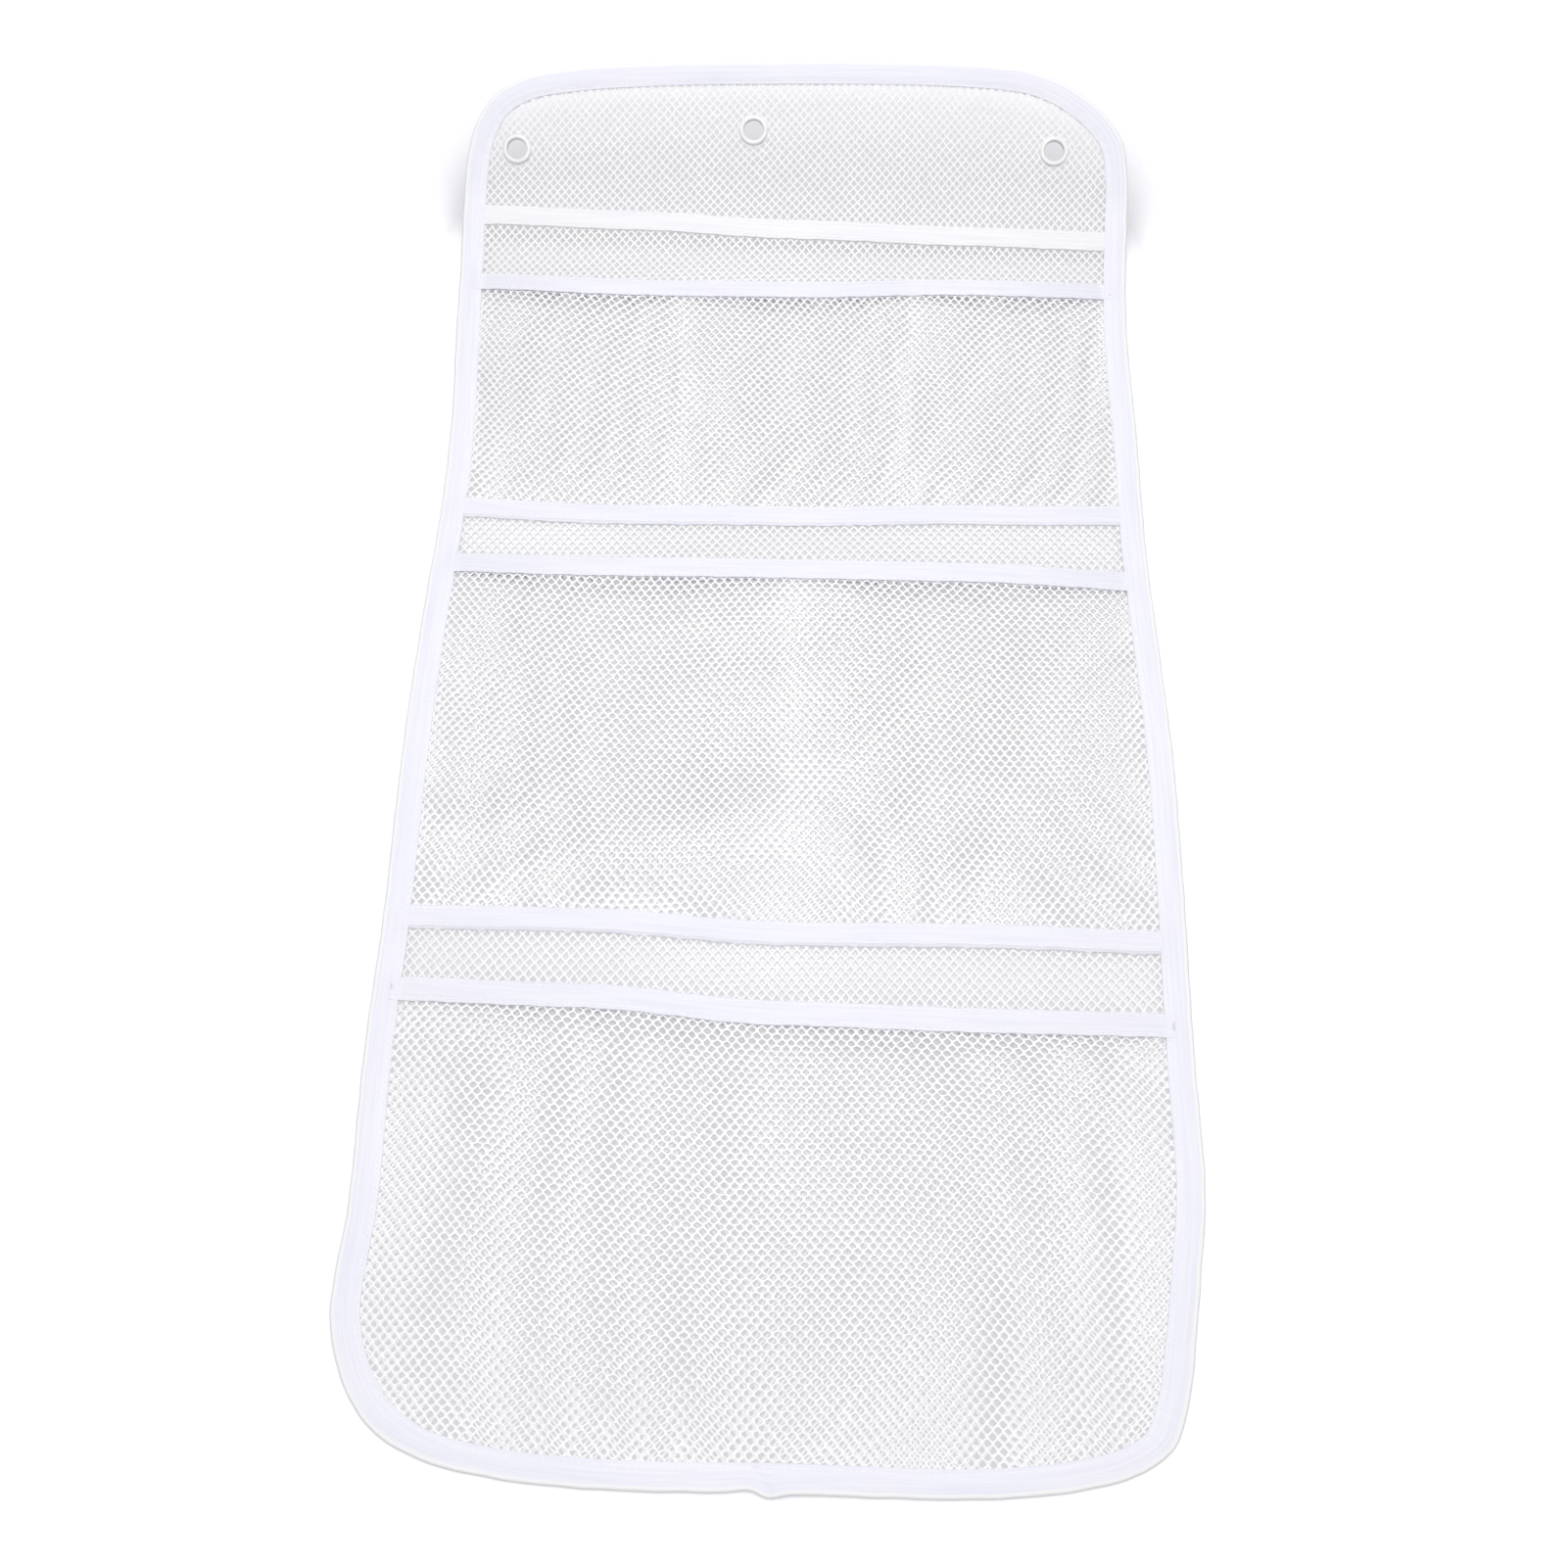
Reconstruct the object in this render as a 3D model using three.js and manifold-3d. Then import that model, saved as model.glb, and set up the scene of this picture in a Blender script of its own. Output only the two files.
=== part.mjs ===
// Mesh shower caddy: a sewn net sheet with three rows of net pockets, cross tapes,
// a folded edge binding and three plastic grommets. It lies on its back with its
// header curled up. Millimetres, +X to the right, +Y from the bottom edge to the
// header, +Z up out of the pockets.
import * as THREE from 'three';
import { mergeGeometries, mergeVertices } from 'three/addons/utils/BufferGeometryUtils.js';
import Module from 'manifold-3d';

const wasm = await Module();
wasm.setup();

// Driving sizes of the cloth
const clothWidth = 360;
const netThickness = 0.4;
const tapeThickness = 0.4;
const clearance = 0.3;
const bindingWidth = 12;
const tapeWidth = 11;
const rawEdgeInset = 1.0;
const bindingGap = 1.2;
const bottomRun = 18;

// Rows from the bottom edge up, each measured between the middles of its tapes
const lowerPocketLength = 197;
const lowerGapLength = 36;
const middlePocketLength = 189;
const middleGapLength = 34;
const upperPocketLength = 145;
const upperGapLength = 39;
const headerLength = 90;

// Cross tapes: height of the middle of each above the bottom edge
const lowerRimHeight = lowerPocketLength;
const middleBaseHeight = lowerRimHeight + lowerGapLength;
const middleRimHeight = middleBaseHeight + middlePocketLength;
const upperBaseHeight = middleRimHeight + middleGapLength;
const upperRimHeight = upperBaseHeight + upperPocketLength;
const headerTapeHeight = upperRimHeight + upperGapLength;
const clothLength = headerTapeHeight + headerLength;

// Each tape's drift from straight, left to right, as shares of the tape's width
const lowerRimDriftShares = [0.45, 0.3, -0.25, -0.4, -0.45];
const middleBaseDriftShares = [0.25, 0.25, -0.15, -0.1, -0.25];
const middleRimDriftShares = [0.05, -0.05, 0.0, 0.0, -0.3];
const upperBaseDriftShares = [0.0, -0.25, -0.2, 0.1, 0.2];
const upperRimDriftShares = [0.05, -0.15, -0.1, 0.25, 0.15];
const headerDriftShares = [0.4, 0.25, -0.05, -0.25, -0.4];

// Pockets: how far each row's cloth stands up, and how far its mouth sags for that lift
const upperPocketLift = 7;
const middlePocketLift = 8;
const lowerPocketLift = 9;
const upperSagShare = 0.85;
const middleSagShare = 0.6;
const lowerSagShare = 0.3;
const upperLeftPocketWidth = 120;
const upperRightPocketWidth = 119;
const upperLeftSeam = upperLeftPocketWidth - clothWidth / 2;
const upperRightSeam = clothWidth / 2 - upperRightPocketWidth;
const middleSeam = 3;
const creaseHalfWidth = 22;
const creaseShare = 0.25;
// Height of the lift along a pocket, from its base to its mouth
const bellyRiseShare = 0.5;
const mouthRunLength = 16;

// The header curls up in short folds: some above the upper pockets' mouth, and
// some above the header tape
const curlAboveRim = 10;
const curlAboveHeaderTape = 11;
const lowerCurlStart = upperRimHeight + curlAboveRim;
const upperCurlStart = headerTapeHeight + curlAboveHeaderTape;
const lowerCurlSpan = 12;
const upperCurlSpan = 13.5;
const lowerCurlFolds = 3;
const upperCurlFolds = 4;
const lowerCurlAngle = THREE.MathUtils.degToRad(16.5);
const upperCurlAngle = THREE.MathUtils.degToRad(16);

// Grommets
const grommetOuterRadius = 7.7;
const grommetBoreRadius = 5.4;
const barrelRadius = 6.2;
const flangeThickness = 1.5;
const flangeRounding = 0.45;
const washerThickness = 1.1;
const barrelClearance = 0.3;
const grommetSides = 24;
const grommetLeftInset = 25;
const grommetCentreOffset = -25;
const grommetRightInset = 39.5;
const grommetLeftDrop = 49;
const grommetCentreDrop = 36.5;
const grommetRightDrop = 44.5;
const grommetPlaces = {
  left: new THREE.Vector2(grommetLeftInset - clothWidth / 2, clothLength - grommetLeftDrop),
  centre: new THREE.Vector2(grommetCentreOffset, clothLength - grommetCentreDrop),
  right: new THREE.Vector2(clothWidth / 2 - grommetRightInset, clothLength - grommetRightDrop),
};

// Threads
const threadWidth = 0.6;
const threadHeight = 0.25;
const seamThreadWidth = 0.8;
const tapeStitchInset = 1.5;
const bindingStitchInset = 1.6;

// The net's gaps: fewer than the real net's, in the same proportions
const gapPitchAcross = 56;
const gapPitchAlong = 64.5;
const gapAcross = 17.8;
const gapAlong = 20.4;
const gapEdgeMargin = 2;
const cutReach = 120;

// Where each net's pattern of gaps starts, across and along, as shares of its pitch
const backGapStartShares = [0.1, 0.4];
const upperGapStartShares = [0.75, 0.29];
const middleGapStartShares = [0.73, 0.1];
const lowerGapStartShares = [0.65, 0.48];

// Sampling of curves, and how many bends each pocket has across
const upperColumns = 5;
const middleColumns = 6;
const lowerColumns = 10;
const outlineSamples = 900;
const outlineTurn = THREE.MathUtils.degToRad(8);
const outlineStep = 80;
const tolerance = 1e-4;

// The outline, anticlockwise from the middle of the bottom edge, as shares of half
// the cloth's width and of its length
const outlineShares = [
  [0.0, 0.001], [0.45, 0.0], [0.66, 0.005], [0.79, 0.013], [0.87, 0.026], [0.915, 0.05],
  [0.945, 0.085], [0.97, 0.122], [0.995, 0.165], [0.998, 0.245], [1.01, 0.37],
  [1.012, 0.45], [1.0, 0.53], [0.99, 0.6], [0.992, 0.69], [0.99, 0.79], [1.005, 0.86],
  [1.008, 0.92], [0.985, 0.948], [0.93, 0.966], [0.845, 0.982], [0.72, 0.995],
  [0.52, 1.0], [0.0, 1.0], [-0.47, 0.996], [-0.7, 0.991], [-0.84, 0.984],
  [-0.93, 0.971], [-0.985, 0.95], [-1.015, 0.92], [-1.022, 0.87], [-1.01, 0.79],
  [-0.988, 0.7], [-0.985, 0.63], [-1.0, 0.53], [-1.006, 0.44], [-1.0, 0.32],
  [-1.004, 0.24], [-0.995, 0.15], [-1.004, 0.09], [-0.97, 0.06], [-0.9, 0.034],
  [-0.79, 0.016], [-0.62, 0.006], [-0.35, 0.001],
];

// Height levels through the cloth, from the underside up
const backNetLevel = tapeThickness + clearance;
const backNetTop = backNetLevel + netThickness;
const pocketNetLevel = backNetTop + clearance;
const coverLevel = pocketNetLevel + netThickness + clearance;
const bindingTop = coverLevel + tapeThickness;
const rimRaise = tapeThickness + clearance;

// The outline's curve in cloth coordinates: x across, y along the cloth
function makeOutline() {
  const points = outlineShares.map(
    ([across, along]) => new THREE.Vector3((across * clothWidth) / 2, along * clothLength, 0),
  );
  const curve = new THREE.CatmullRomCurve3(points, true, 'centripetal');
  const samples = curve.getSpacedPoints(outlineSamples).slice(0, -1);
  return samples.map((point, i) => {
    const before = samples.at(i - 1);
    const after = samples[(i + 1) % samples.length];
    const tangent = new THREE.Vector2(after.x - before.x, after.y - before.y).normalize();
    return { x: point.x, s: point.y, inX: -tangent.y, inS: tangent.x };
  });
}

// The side of the curled cloth: flat, then folds, then flat again
function makeProfile() {
  const stations = [{ s: 0, y: 0, z: 0, angle: 0 }];
  const addFolds = (start, span, folds, angle) => {
    for (let i = 0; i < folds; i += 1) {
      const last = stations.at(-1);
      const s = start + (span * i) / (folds - 1);
      stations.push({
        s,
        y: last.y + (s - last.s) * Math.cos(last.angle),
        z: last.z + (s - last.s) * Math.sin(last.angle),
        angle: last.angle + angle / folds,
      });
    }
  };
  addFolds(lowerCurlStart, lowerCurlSpan, lowerCurlFolds, lowerCurlAngle);
  addFolds(upperCurlStart, upperCurlSpan, upperCurlFolds, upperCurlAngle);
  return stations;
}

const outline = makeOutline();
const profile = makeProfile();
const foldHeights = profile.slice(1).map((station) => station.s);

// A point of the cloth, at x across, s along and t out of its underside, in space
function place(x, s, t) {
  let index = 0;
  while (index + 1 < profile.length && s >= profile[index + 1].s - tolerance) index += 1;
  const station = profile[index];
  const onFold = index > 0 && Math.abs(s - station.s) < tolerance;
  const normal = onFold ? (station.angle + profile[index - 1].angle) / 2 : station.angle;
  return new THREE.Vector3(
    x,
    station.y + (s - station.s) * Math.cos(station.angle) - t * Math.sin(normal),
    station.z + (s - station.s) * Math.sin(station.angle) + t * Math.cos(normal),
  );
}

// The outline with few points: one at each turn, each long step and each fold
function makeBorder() {
  const kept = [outline[0]];
  outline.slice(1).forEach((point, i) => {
    const before = outline[i];
    const last = kept.at(-1);
    const turn = Math.acos(Math.min(1, last.inX * point.inX + last.inS * point.inS));
    const step = Math.hypot(point.x - last.x, point.s - last.s);
    const fold = foldHeights.find((s) => (before.s - s) * (point.s - s) < 0);
    if (fold !== undefined) {
      const share = (fold - before.s) / (point.s - before.s);
      kept.push({ ...point, x: before.x + (point.x - before.x) * share, s: fold });
    } else if (turn > outlineTurn || step > outlineStep) {
      kept.push(point);
    }
  });
  return kept;
}

const border = makeBorder();

// A closed mesh from points and faces of three or four corners
function meshOf(points, faces) {
  const positions = [];
  faces.forEach((face) => {
    for (let i = 2; i < face.length; i += 1) {
      [face[0], face[i - 1], face[i]].forEach((at) => positions.push(...points[at].toArray()));
    }
  });
  const geometry = new THREE.BufferGeometry();
  geometry.setAttribute('position', new THREE.Float32BufferAttribute(positions, 3));
  geometry.computeVertexNormals();
  return geometry;
}

// A section swept along stations: each station is a list of points, anticlockwise
// when seen with the path coming towards the eye
function sweep(stations, closed) {
  const count = stations[0].length;
  const points = stations.flat();
  const faces = [];
  const runs = closed ? stations.length : stations.length - 1;
  for (let i = 0; i < runs; i += 1) {
    const here = i * count;
    const next = ((i + 1) % stations.length) * count;
    for (let k = 0; k < count; k += 1) {
      const l = (k + 1) % count;
      faces.push([here + k, here + l, next + l, next + k]);
    }
  }
  if (closed) return meshOf(points, faces);
  const cap = THREE.ShapeUtils.triangulateShape(flatten(stations[0]), []);
  const last = (stations.length - 1) * count;
  cap.forEach(([a, b, c]) => faces.push([c, b, a], [last + a, last + b, last + c]));
  return meshOf(points, faces);
}

// The points of one station on its own flat face, for its end cap
function flatten(station) {
  const side = station[1].clone().sub(station[0]).normalize();
  const normal = new THREE.Vector3();
  station.forEach((point, i) => {
    normal.add(point.clone().cross(station[(i + 1) % station.length]));
  });
  const up = normal.normalize().cross(side);
  return station.map((point) => new THREE.Vector2(point.dot(side), point.dot(up)));
}

// A solid for cutting and joining, and back
function solidOf(geometry) {
  const bare = new THREE.BufferGeometry();
  bare.setAttribute('position', geometry.getAttribute('position'));
  if (geometry.index) bare.setIndex(geometry.index);
  const merged = mergeVertices(bare, tolerance);
  return new wasm.Manifold(
    new wasm.Mesh({
      numProp: 3,
      vertProperties: new Float32Array(merged.getAttribute('position').array),
      triVerts: new Uint32Array(merged.index.array),
    }),
  );
}

function geometryOf(solid) {
  const mesh = solid.getMesh();
  const geometry = new THREE.BufferGeometry();
  geometry.setAttribute('position', new THREE.Float32BufferAttribute(mesh.vertProperties, 3));
  geometry.setIndex(Array.from(mesh.triVerts));
  const flat = geometry.toNonIndexed();
  flat.computeVertexNormals();
  return flat;
}

// Upright prisms over outlines of cloth points [x, s], true at a level of the cloth
function prismsOver(outlines, level) {
  const geometries = outlines.map((points) => {
    const plan = points.map(([x, s]) => new THREE.Vector2(x, place(x, s, level).y));
    const options = { depth: 2 * cutReach, bevelEnabled: false };
    return new THREE.ExtrudeGeometry(new THREE.Shape(plan), options);
  });
  return solidOf(mergeGeometries(geometries).translate(0, 0, -cutReach));
}

// The outline drawn in by a distance, as cloth points
function borderInset(inset) {
  return border.map((point) => [point.x + point.inX * inset, point.s + point.inS * inset]);
}

const innerEdge = borderInset(bindingWidth);

// Where the binding's inner edge crosses a height, on the left (-1) or the right (1)
function sideX(height, side) {
  const s = Math.max(height, bottomRun);
  let crossing = 0;
  innerEdge.forEach(([ax, as], i) => {
    const [bx, bs] = innerEdge[(i + 1) % innerEdge.length];
    const crosses = (as - s) * (bs - s) <= 0 && as !== bs && ax * side > 0;
    if (crosses) crossing = ax + ((bx - ax) * (s - as)) / (bs - as);
  });
  return crossing;
}

// A smooth line through values spaced evenly from the left side to the right
function driftAt(shares, x) {
  const across = THREE.MathUtils.clamp(x / clothWidth + 0.5, 0, 1) * (shares.length - 1);
  const i = Math.min(Math.floor(across), shares.length - 2);
  const blend = THREE.MathUtils.smoothstep(across - i, 0, 1);
  return THREE.MathUtils.lerp(shares[i], shares[i + 1], blend) * tapeWidth;
}

// One row of pockets: its base line, its mouth line, its seams and its lift
const upperRow = {
  baseHeight: upperBaseHeight,
  baseDrift: upperBaseDriftShares,
  rimHeight: upperRimHeight,
  rimDrift: upperRimDriftShares,
  seams: [upperLeftSeam, upperRightSeam],
  lift: upperPocketLift,
  sagShare: upperSagShare,
  columns: upperColumns,
  gapStartShares: upperGapStartShares,
};
const middleRow = {
  baseHeight: middleBaseHeight,
  baseDrift: middleBaseDriftShares,
  rimHeight: middleRimHeight,
  rimDrift: middleRimDriftShares,
  seams: [middleSeam],
  lift: middlePocketLift,
  sagShare: middleSagShare,
  columns: middleColumns,
  gapStartShares: middleGapStartShares,
};
const lowerRow = {
  baseHeight: null,
  rimHeight: lowerRimHeight,
  rimDrift: lowerRimDriftShares,
  seams: [],
  lift: lowerPocketLift,
  sagShare: lowerSagShare,
  columns: lowerColumns,
  gapStartShares: lowerGapStartShares,
};

// The lines across a row where its cloth bends: [x, share across its pocket]
function columnsAt(row, s) {
  const start = sideX(s, -1) + bindingGap + rimRaise;
  const end = sideX(s, 1) - bindingGap - rimRaise;
  const stops = [start, ...row.seams, end];
  const columns = [[start, 0]];
  for (let p = 1; p < stops.length; p += 1) {
    for (let i = 1; i <= row.columns; i += 1) {
      const share = i / row.columns;
      columns.push([THREE.MathUtils.lerp(stops[p - 1], stops[p], share), share]);
    }
  }
  return columns;
}

// How high a pocket's cloth stands at a share across it
function arch(row, x, share) {
  const crease = row.seams.length === 0 ? creaseShare : 0;
  const dent = crease * Math.exp(-(((x - middleSeam) / creaseHalfWidth) ** 2));
  return row.lift * Math.sin(Math.PI * share) * (1 - dent);
}

// The mouth's middle line: it sags where the mouth stands open
function rimLine(row, x, share) {
  return row.rimHeight + driftAt(row.rimDrift, x) - row.sagShare * arch(row, x, share);
}

function baseLine(row, x) {
  return row.baseHeight === null ? 0 : row.baseHeight + driftAt(row.baseDrift, x);
}

// Where the pocket's free cloth starts above its base
function bellyStart(row, x) {
  if (row.baseHeight === null) return bindingWidth + bindingGap;
  return baseLine(row, x) + tapeWidth / 2;
}

// A pocket's grid of cloth points, row by row from base to mouth: each has its x,
// its s and its height above the level of cloth that lies flat
function pocketGrid(row) {
  const shares = [0, 0.2, bellyRiseShare, 0.8];
  const atRim = columnsAt(row, row.rimHeight);
  const lines = [];
  const addLine = (heightOf, liftShareOf, raise) => {
    lines.push(
      atRim.map(([rimX, share], i) => {
        const s = heightOf(rimX, share);
        const x = columnsAt(row, s)[i][0];
        return { x, s, lift: arch(row, x, share) * liftShareOf + raise };
      }),
    );
  };
  const mouthEdge = (x, share) => rimLine(row, x, share) - tapeWidth / 2;
  const baseReach = row.baseHeight === null ? 2 * bindingWidth : tapeWidth - rawEdgeInset;
  addLine((x) => bellyStart(row, x) - baseReach, 0, 0);
  shares.forEach((at) => {
    const liftShare = Math.sin((Math.PI / 2) * Math.min(1, at / bellyRiseShare));
    addLine(
      (x, share) =>
        THREE.MathUtils.lerp(bellyStart(row, x), mouthEdge(x, share) - mouthRunLength, at),
      liftShare,
      0,
    );
  });
  addLine((x, share) => mouthEdge(x, share) - mouthRunLength, 1, 0);
  addLine((x, share) => mouthEdge(x, share) - clearance, 1, rimRaise);
  const foldInside = tapeWidth - tapeThickness - clearance;
  addLine((x, share) => mouthEdge(x, share) + foldInside, 1, rimRaise);
  return lines;
}

// The same grid with its cloth run out flat under the binding at both sides
function withSideRuns(grid) {
  return grid.map((line) => {
    const first = line[0];
    const last = line.at(-1);
    const outerLeft = { x: first.x - 2 * bindingWidth, s: first.s, lift: 0 };
    const outerRight = { x: last.x + 2 * bindingWidth, s: last.s, lift: 0 };
    const innerLeft = { x: first.x - rimRaise, s: first.s, lift: 0 };
    const innerRight = { x: last.x + rimRaise, s: last.s, lift: 0 };
    return [outerLeft, innerLeft, ...line, innerRight, outerRight];
  });
}

// A sheet of cloth over a grid of cloth points, its underside at a level
function sheetOver(grid, level, thickness) {
  const width = grid[0].length;
  const lower = grid.flat().map(({ x, s, lift }) => place(x, s, level + lift));
  const upper = grid.flat().map(({ x, s, lift }) => place(x, s, level + lift + thickness));
  const points = [...lower, ...upper];
  const top = lower.length;
  const faces = [];
  const at = (i, k) => i * width + k;
  for (let i = 0; i + 1 < grid.length; i += 1) {
    for (let k = 0; k + 1 < width; k += 1) {
      const quad = [at(i, k), at(i, k + 1), at(i + 1, k + 1), at(i + 1, k)];
      faces.push([...quad].reverse(), quad.map((corner) => corner + top));
    }
    const right = width - 1;
    faces.push([at(i + 1, 0), at(i, 0), at(i, 0) + top, at(i + 1, 0) + top]);
    faces.push([at(i, right), at(i + 1, right), at(i + 1, right) + top, at(i, right) + top]);
  }
  const end = grid.length - 1;
  for (let k = 0; k + 1 < width; k += 1) {
    faces.push([at(0, k), at(0, k + 1), at(0, k + 1) + top, at(0, k) + top]);
    faces.push([at(end, k + 1), at(end, k), at(end, k) + top, at(end, k + 1) + top]);
  }
  return meshOf(points, faces);
}

// The net's gaps: diamonds in staggered rows, cut to the part of the cloth that shows
function gapsIn(region, lowest, highest, level, startShares, keepClearOf) {
  const [acrossShare, alongShare] = startShares;
  const halfAcross = gapAcross / 2;
  const halfAlong = gapAlong / 2;
  const clearRadius = grommetOuterRadius + gapEdgeMargin;
  const outlines = [];
  const rows = Math.ceil((highest - lowest) / (gapPitchAlong / 2));
  const halfColumns = Math.ceil(clothWidth / gapPitchAcross / 2);
  for (let j = -1; j <= rows; j += 1) {
    const s = lowest + gapPitchAlong * (alongShare + j / 2);
    const shift = gapPitchAcross * ((acrossShare + Math.abs(j % 2) / 2) % 1);
    for (let i = -halfColumns; i <= halfColumns; i += 1) {
      const x = i * gapPitchAcross + shift;
      const blocked = keepClearOf.some((centre) => {
        const across = Math.abs(centre.x - x) / (halfAcross + clearRadius);
        const along = Math.abs(centre.y - s) / (halfAlong + clearRadius);
        return across + along < 1;
      });
      if (blocked) continue;
      outlines.push([
        [x, s - halfAlong], [x + halfAcross, s], [x, s + halfAlong], [x - halfAcross, s],
      ]);
    }
  }
  return prismsOver(outlines, level).intersect(prismsOver([region], level));
}

// The back sheet: net all over, cut to the outline, with a hole at each grommet
function backPanel() {
  const reach = clothWidth / 2 + bindingWidth;
  const heights = [-bindingWidth, ...foldHeights, clothLength + bindingWidth];
  const grid = heights.map((s) => [-reach, reach].map((x) => ({ x, s, lift: 0 })));
  const sheet = solidOf(sheetOver(grid, backNetLevel, netThickness));
  const level = backNetLevel + netThickness / 2;
  const trimmed = sheet.intersect(prismsOver([borderInset(rawEdgeInset)], level));
  const shown = borderInset(bindingWidth + gapEdgeMargin);
  const holeRadius = barrelRadius + barrelClearance;
  const centres = Object.values(grommetPlaces);
  const holes = centres.map((centre) => circleAt(centre, holeRadius));
  const gaps = gapsIn(shown, 0, clothLength, level, backGapStartShares, centres);
  return geometryOf(trimmed.subtract(gaps).subtract(prismsOver(holes, level)));
}

function circleAt(centre, radius) {
  const points = [];
  for (let i = 0; i < grommetSides; i += 1) {
    const angle = (2 * Math.PI * i) / grommetSides;
    points.push([centre.x + radius * Math.cos(angle), centre.y + radius * Math.sin(angle)]);
  }
  return points;
}

// A pocket front: net arched between its seams
function pocketPanel(row) {
  const grid = pocketGrid(row);
  const sheet = solidOf(sheetOver(withSideRuns(grid), pocketNetLevel, netThickness));
  const level = pocketNetLevel;
  const trimmed = sheet.intersect(prismsOver([borderInset(rawEdgeInset)], level));
  const low = grid[1].map(({ x, s }) => [x, s + gapEdgeMargin]);
  const high = grid.at(-2).map(({ x, s }) => [x, s - gapEdgeMargin]);
  const region = [...low, ...high.reverse()];
  const lowest = Math.min(...low.map(([, s]) => s));
  const highest = Math.max(...high.map(([, s]) => s));
  const margins = row.seams.map((x) => [
    [x - gapEdgeMargin, lowest - gapEdgeMargin], [x + gapEdgeMargin, lowest - gapEdgeMargin],
    [x + gapEdgeMargin, highest + gapEdgeMargin], [x - gapEdgeMargin, highest + gapEdgeMargin],
  ]);
  let gaps = gapsIn(region, lowest, highest, level, row.gapStartShares, []);
  if (margins.length > 0) gaps = gaps.subtract(prismsOver(margins, level));
  return geometryOf(trimmed.subtract(gaps));
}

// The folded tape round the whole edge, open towards the cloth
function edgeBinding() {
  const section = [
    [0, 0], [bindingWidth, 0], [bindingWidth, tapeThickness], [tapeThickness, tapeThickness],
    [tapeThickness, coverLevel], [bindingWidth, coverLevel], [bindingWidth, bindingTop],
    [0, bindingTop],
  ];
  return alongBorder(section);
}

function alongBorder(section) {
  const stations = border.map((point) =>
    section.map(([inset, t]) => place(point.x + point.inX * inset, point.s + point.inS * inset, t)),
  );
  return sweep(stations, true);
}

// A thread lying on the binding, near its inner edge
function bindingStitch() {
  const low = bindingTop + clearance;
  const near = bindingWidth - bindingStitchInset - threadWidth;
  return alongBorder(ribbon(near, near + threadWidth, low, low + threadHeight));
}

// A flat section from one side to the other and from low to high
function ribbon(from, to, low, high) {
  return [[from, low], [to, low], [to, high], [from, high]];
}

// A tape's stations: x, middle line s, and height of the cloth under it
function rimStations(row) {
  return columnsAt(row, row.rimHeight).map(([x, share]) => ({
    x,
    s: rimLine(row, x, share),
    lift: arch(row, x, share) + rimRaise,
  }));
}

function flatStations(height, drift, ends) {
  const left = sideX(height, -1) + ends;
  const right = sideX(height, 1) - ends;
  const count = (drift.length - 1) * 3;
  return Array.from({ length: count + 1 }, (_, i) => {
    const x = THREE.MathUtils.lerp(left, right, i / count);
    return { x, s: height + driftAt(drift, x), lift: 0 };
  });
}

// A section of [across the tape, t] swept along a tape's stations
function alongTape(stations, section) {
  return sweep(
    stations.map(({ x, s, lift }) =>
      section.map(([across, t]) => place(x, s + across, t + lift)),
    ),
    false,
  );
}

// Tape folded over a pocket's mouth: a front leg, the fold and a back leg
function rimTape(row) {
  const half = tapeWidth / 2;
  const net = pocketNetLevel;
  const backLow = net - clearance - tapeThickness;
  const frontHigh = net + netThickness + clearance + tapeThickness;
  return alongTape(rimStations(row), [
    [-half, backLow], [half, backLow], [half, frontHigh], [-half, frontHigh],
    [-half, frontHigh - tapeThickness], [half - tapeThickness, frontHigh - tapeThickness],
    [half - tapeThickness, backLow + tapeThickness], [-half, backLow + tapeThickness],
  ]);
}

// Flat tape, its underside at a level
function flatTape(stations, level) {
  return alongTape(stations, ribbon(-tapeWidth / 2, tapeWidth / 2, level, level + tapeThickness));
}

// A thread row near one edge of a tape: side is 1 for the upper edge, -1 for the lower
function tapeStitch(stations, tapeTop, side) {
  const middle = side * (tapeWidth / 2 - tapeStitchInset);
  const low = tapeTop + clearance;
  const section = ribbon(middle - threadWidth / 2, middle + threadWidth / 2, low, low + threadHeight);
  return alongTape(stations, section);
}

// The thread row that closes two pockets off from each other
function dividerSeam(row, seamIndex) {
  const column = (seamIndex + 1) * row.columns;
  const line = pocketGrid(row).slice(1, -1).map((cloth) => cloth[column]);
  const ends = seamThreadWidth;
  line[0] = { ...line[0], s: line[0].s + ends };
  line[line.length - 1] = { ...line.at(-1), s: line.at(-1).s - ends };
  const low = pocketNetLevel + netThickness + clearance;
  const section = ribbon(-seamThreadWidth / 2, seamThreadWidth / 2, low, low + threadHeight);
  const stations = line.map(({ x, s, lift }) =>
    section.map(([across, t]) => place(x + across, s, t + lift)).reverse(),
  );
  return sweep(stations, false);
}

// Grommet front: a rounded flange and the barrel that passes through the net
function eyelet() {
  const flangeLow = backNetTop + clearance;
  const flangeHigh = flangeLow + flangeThickness;
  const barrelLow = backNetLevel - clearance - washerThickness;
  const inner = grommetBoreRadius;
  const outer = grommetOuterRadius;
  return turned([
    [inner, barrelLow], [barrelRadius, barrelLow], [barrelRadius, flangeLow],
    [outer, flangeLow], [outer, flangeHigh - flangeRounding],
    [outer - flangeRounding, flangeHigh], [inner + flangeRounding, flangeHigh],
    [inner, flangeHigh - flangeRounding],
  ]);
}

// Grommet back: a ring that snaps over the barrel behind the net
function washer() {
  const high = backNetLevel - clearance;
  const low = high - washerThickness;
  const inner = barrelRadius + barrelClearance;
  const outer = grommetOuterRadius;
  const round = flangeRounding;
  return turned([
    [inner, low], [outer - round, low], [outer, low + round], [outer, high], [inner, high],
  ]);
}

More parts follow.
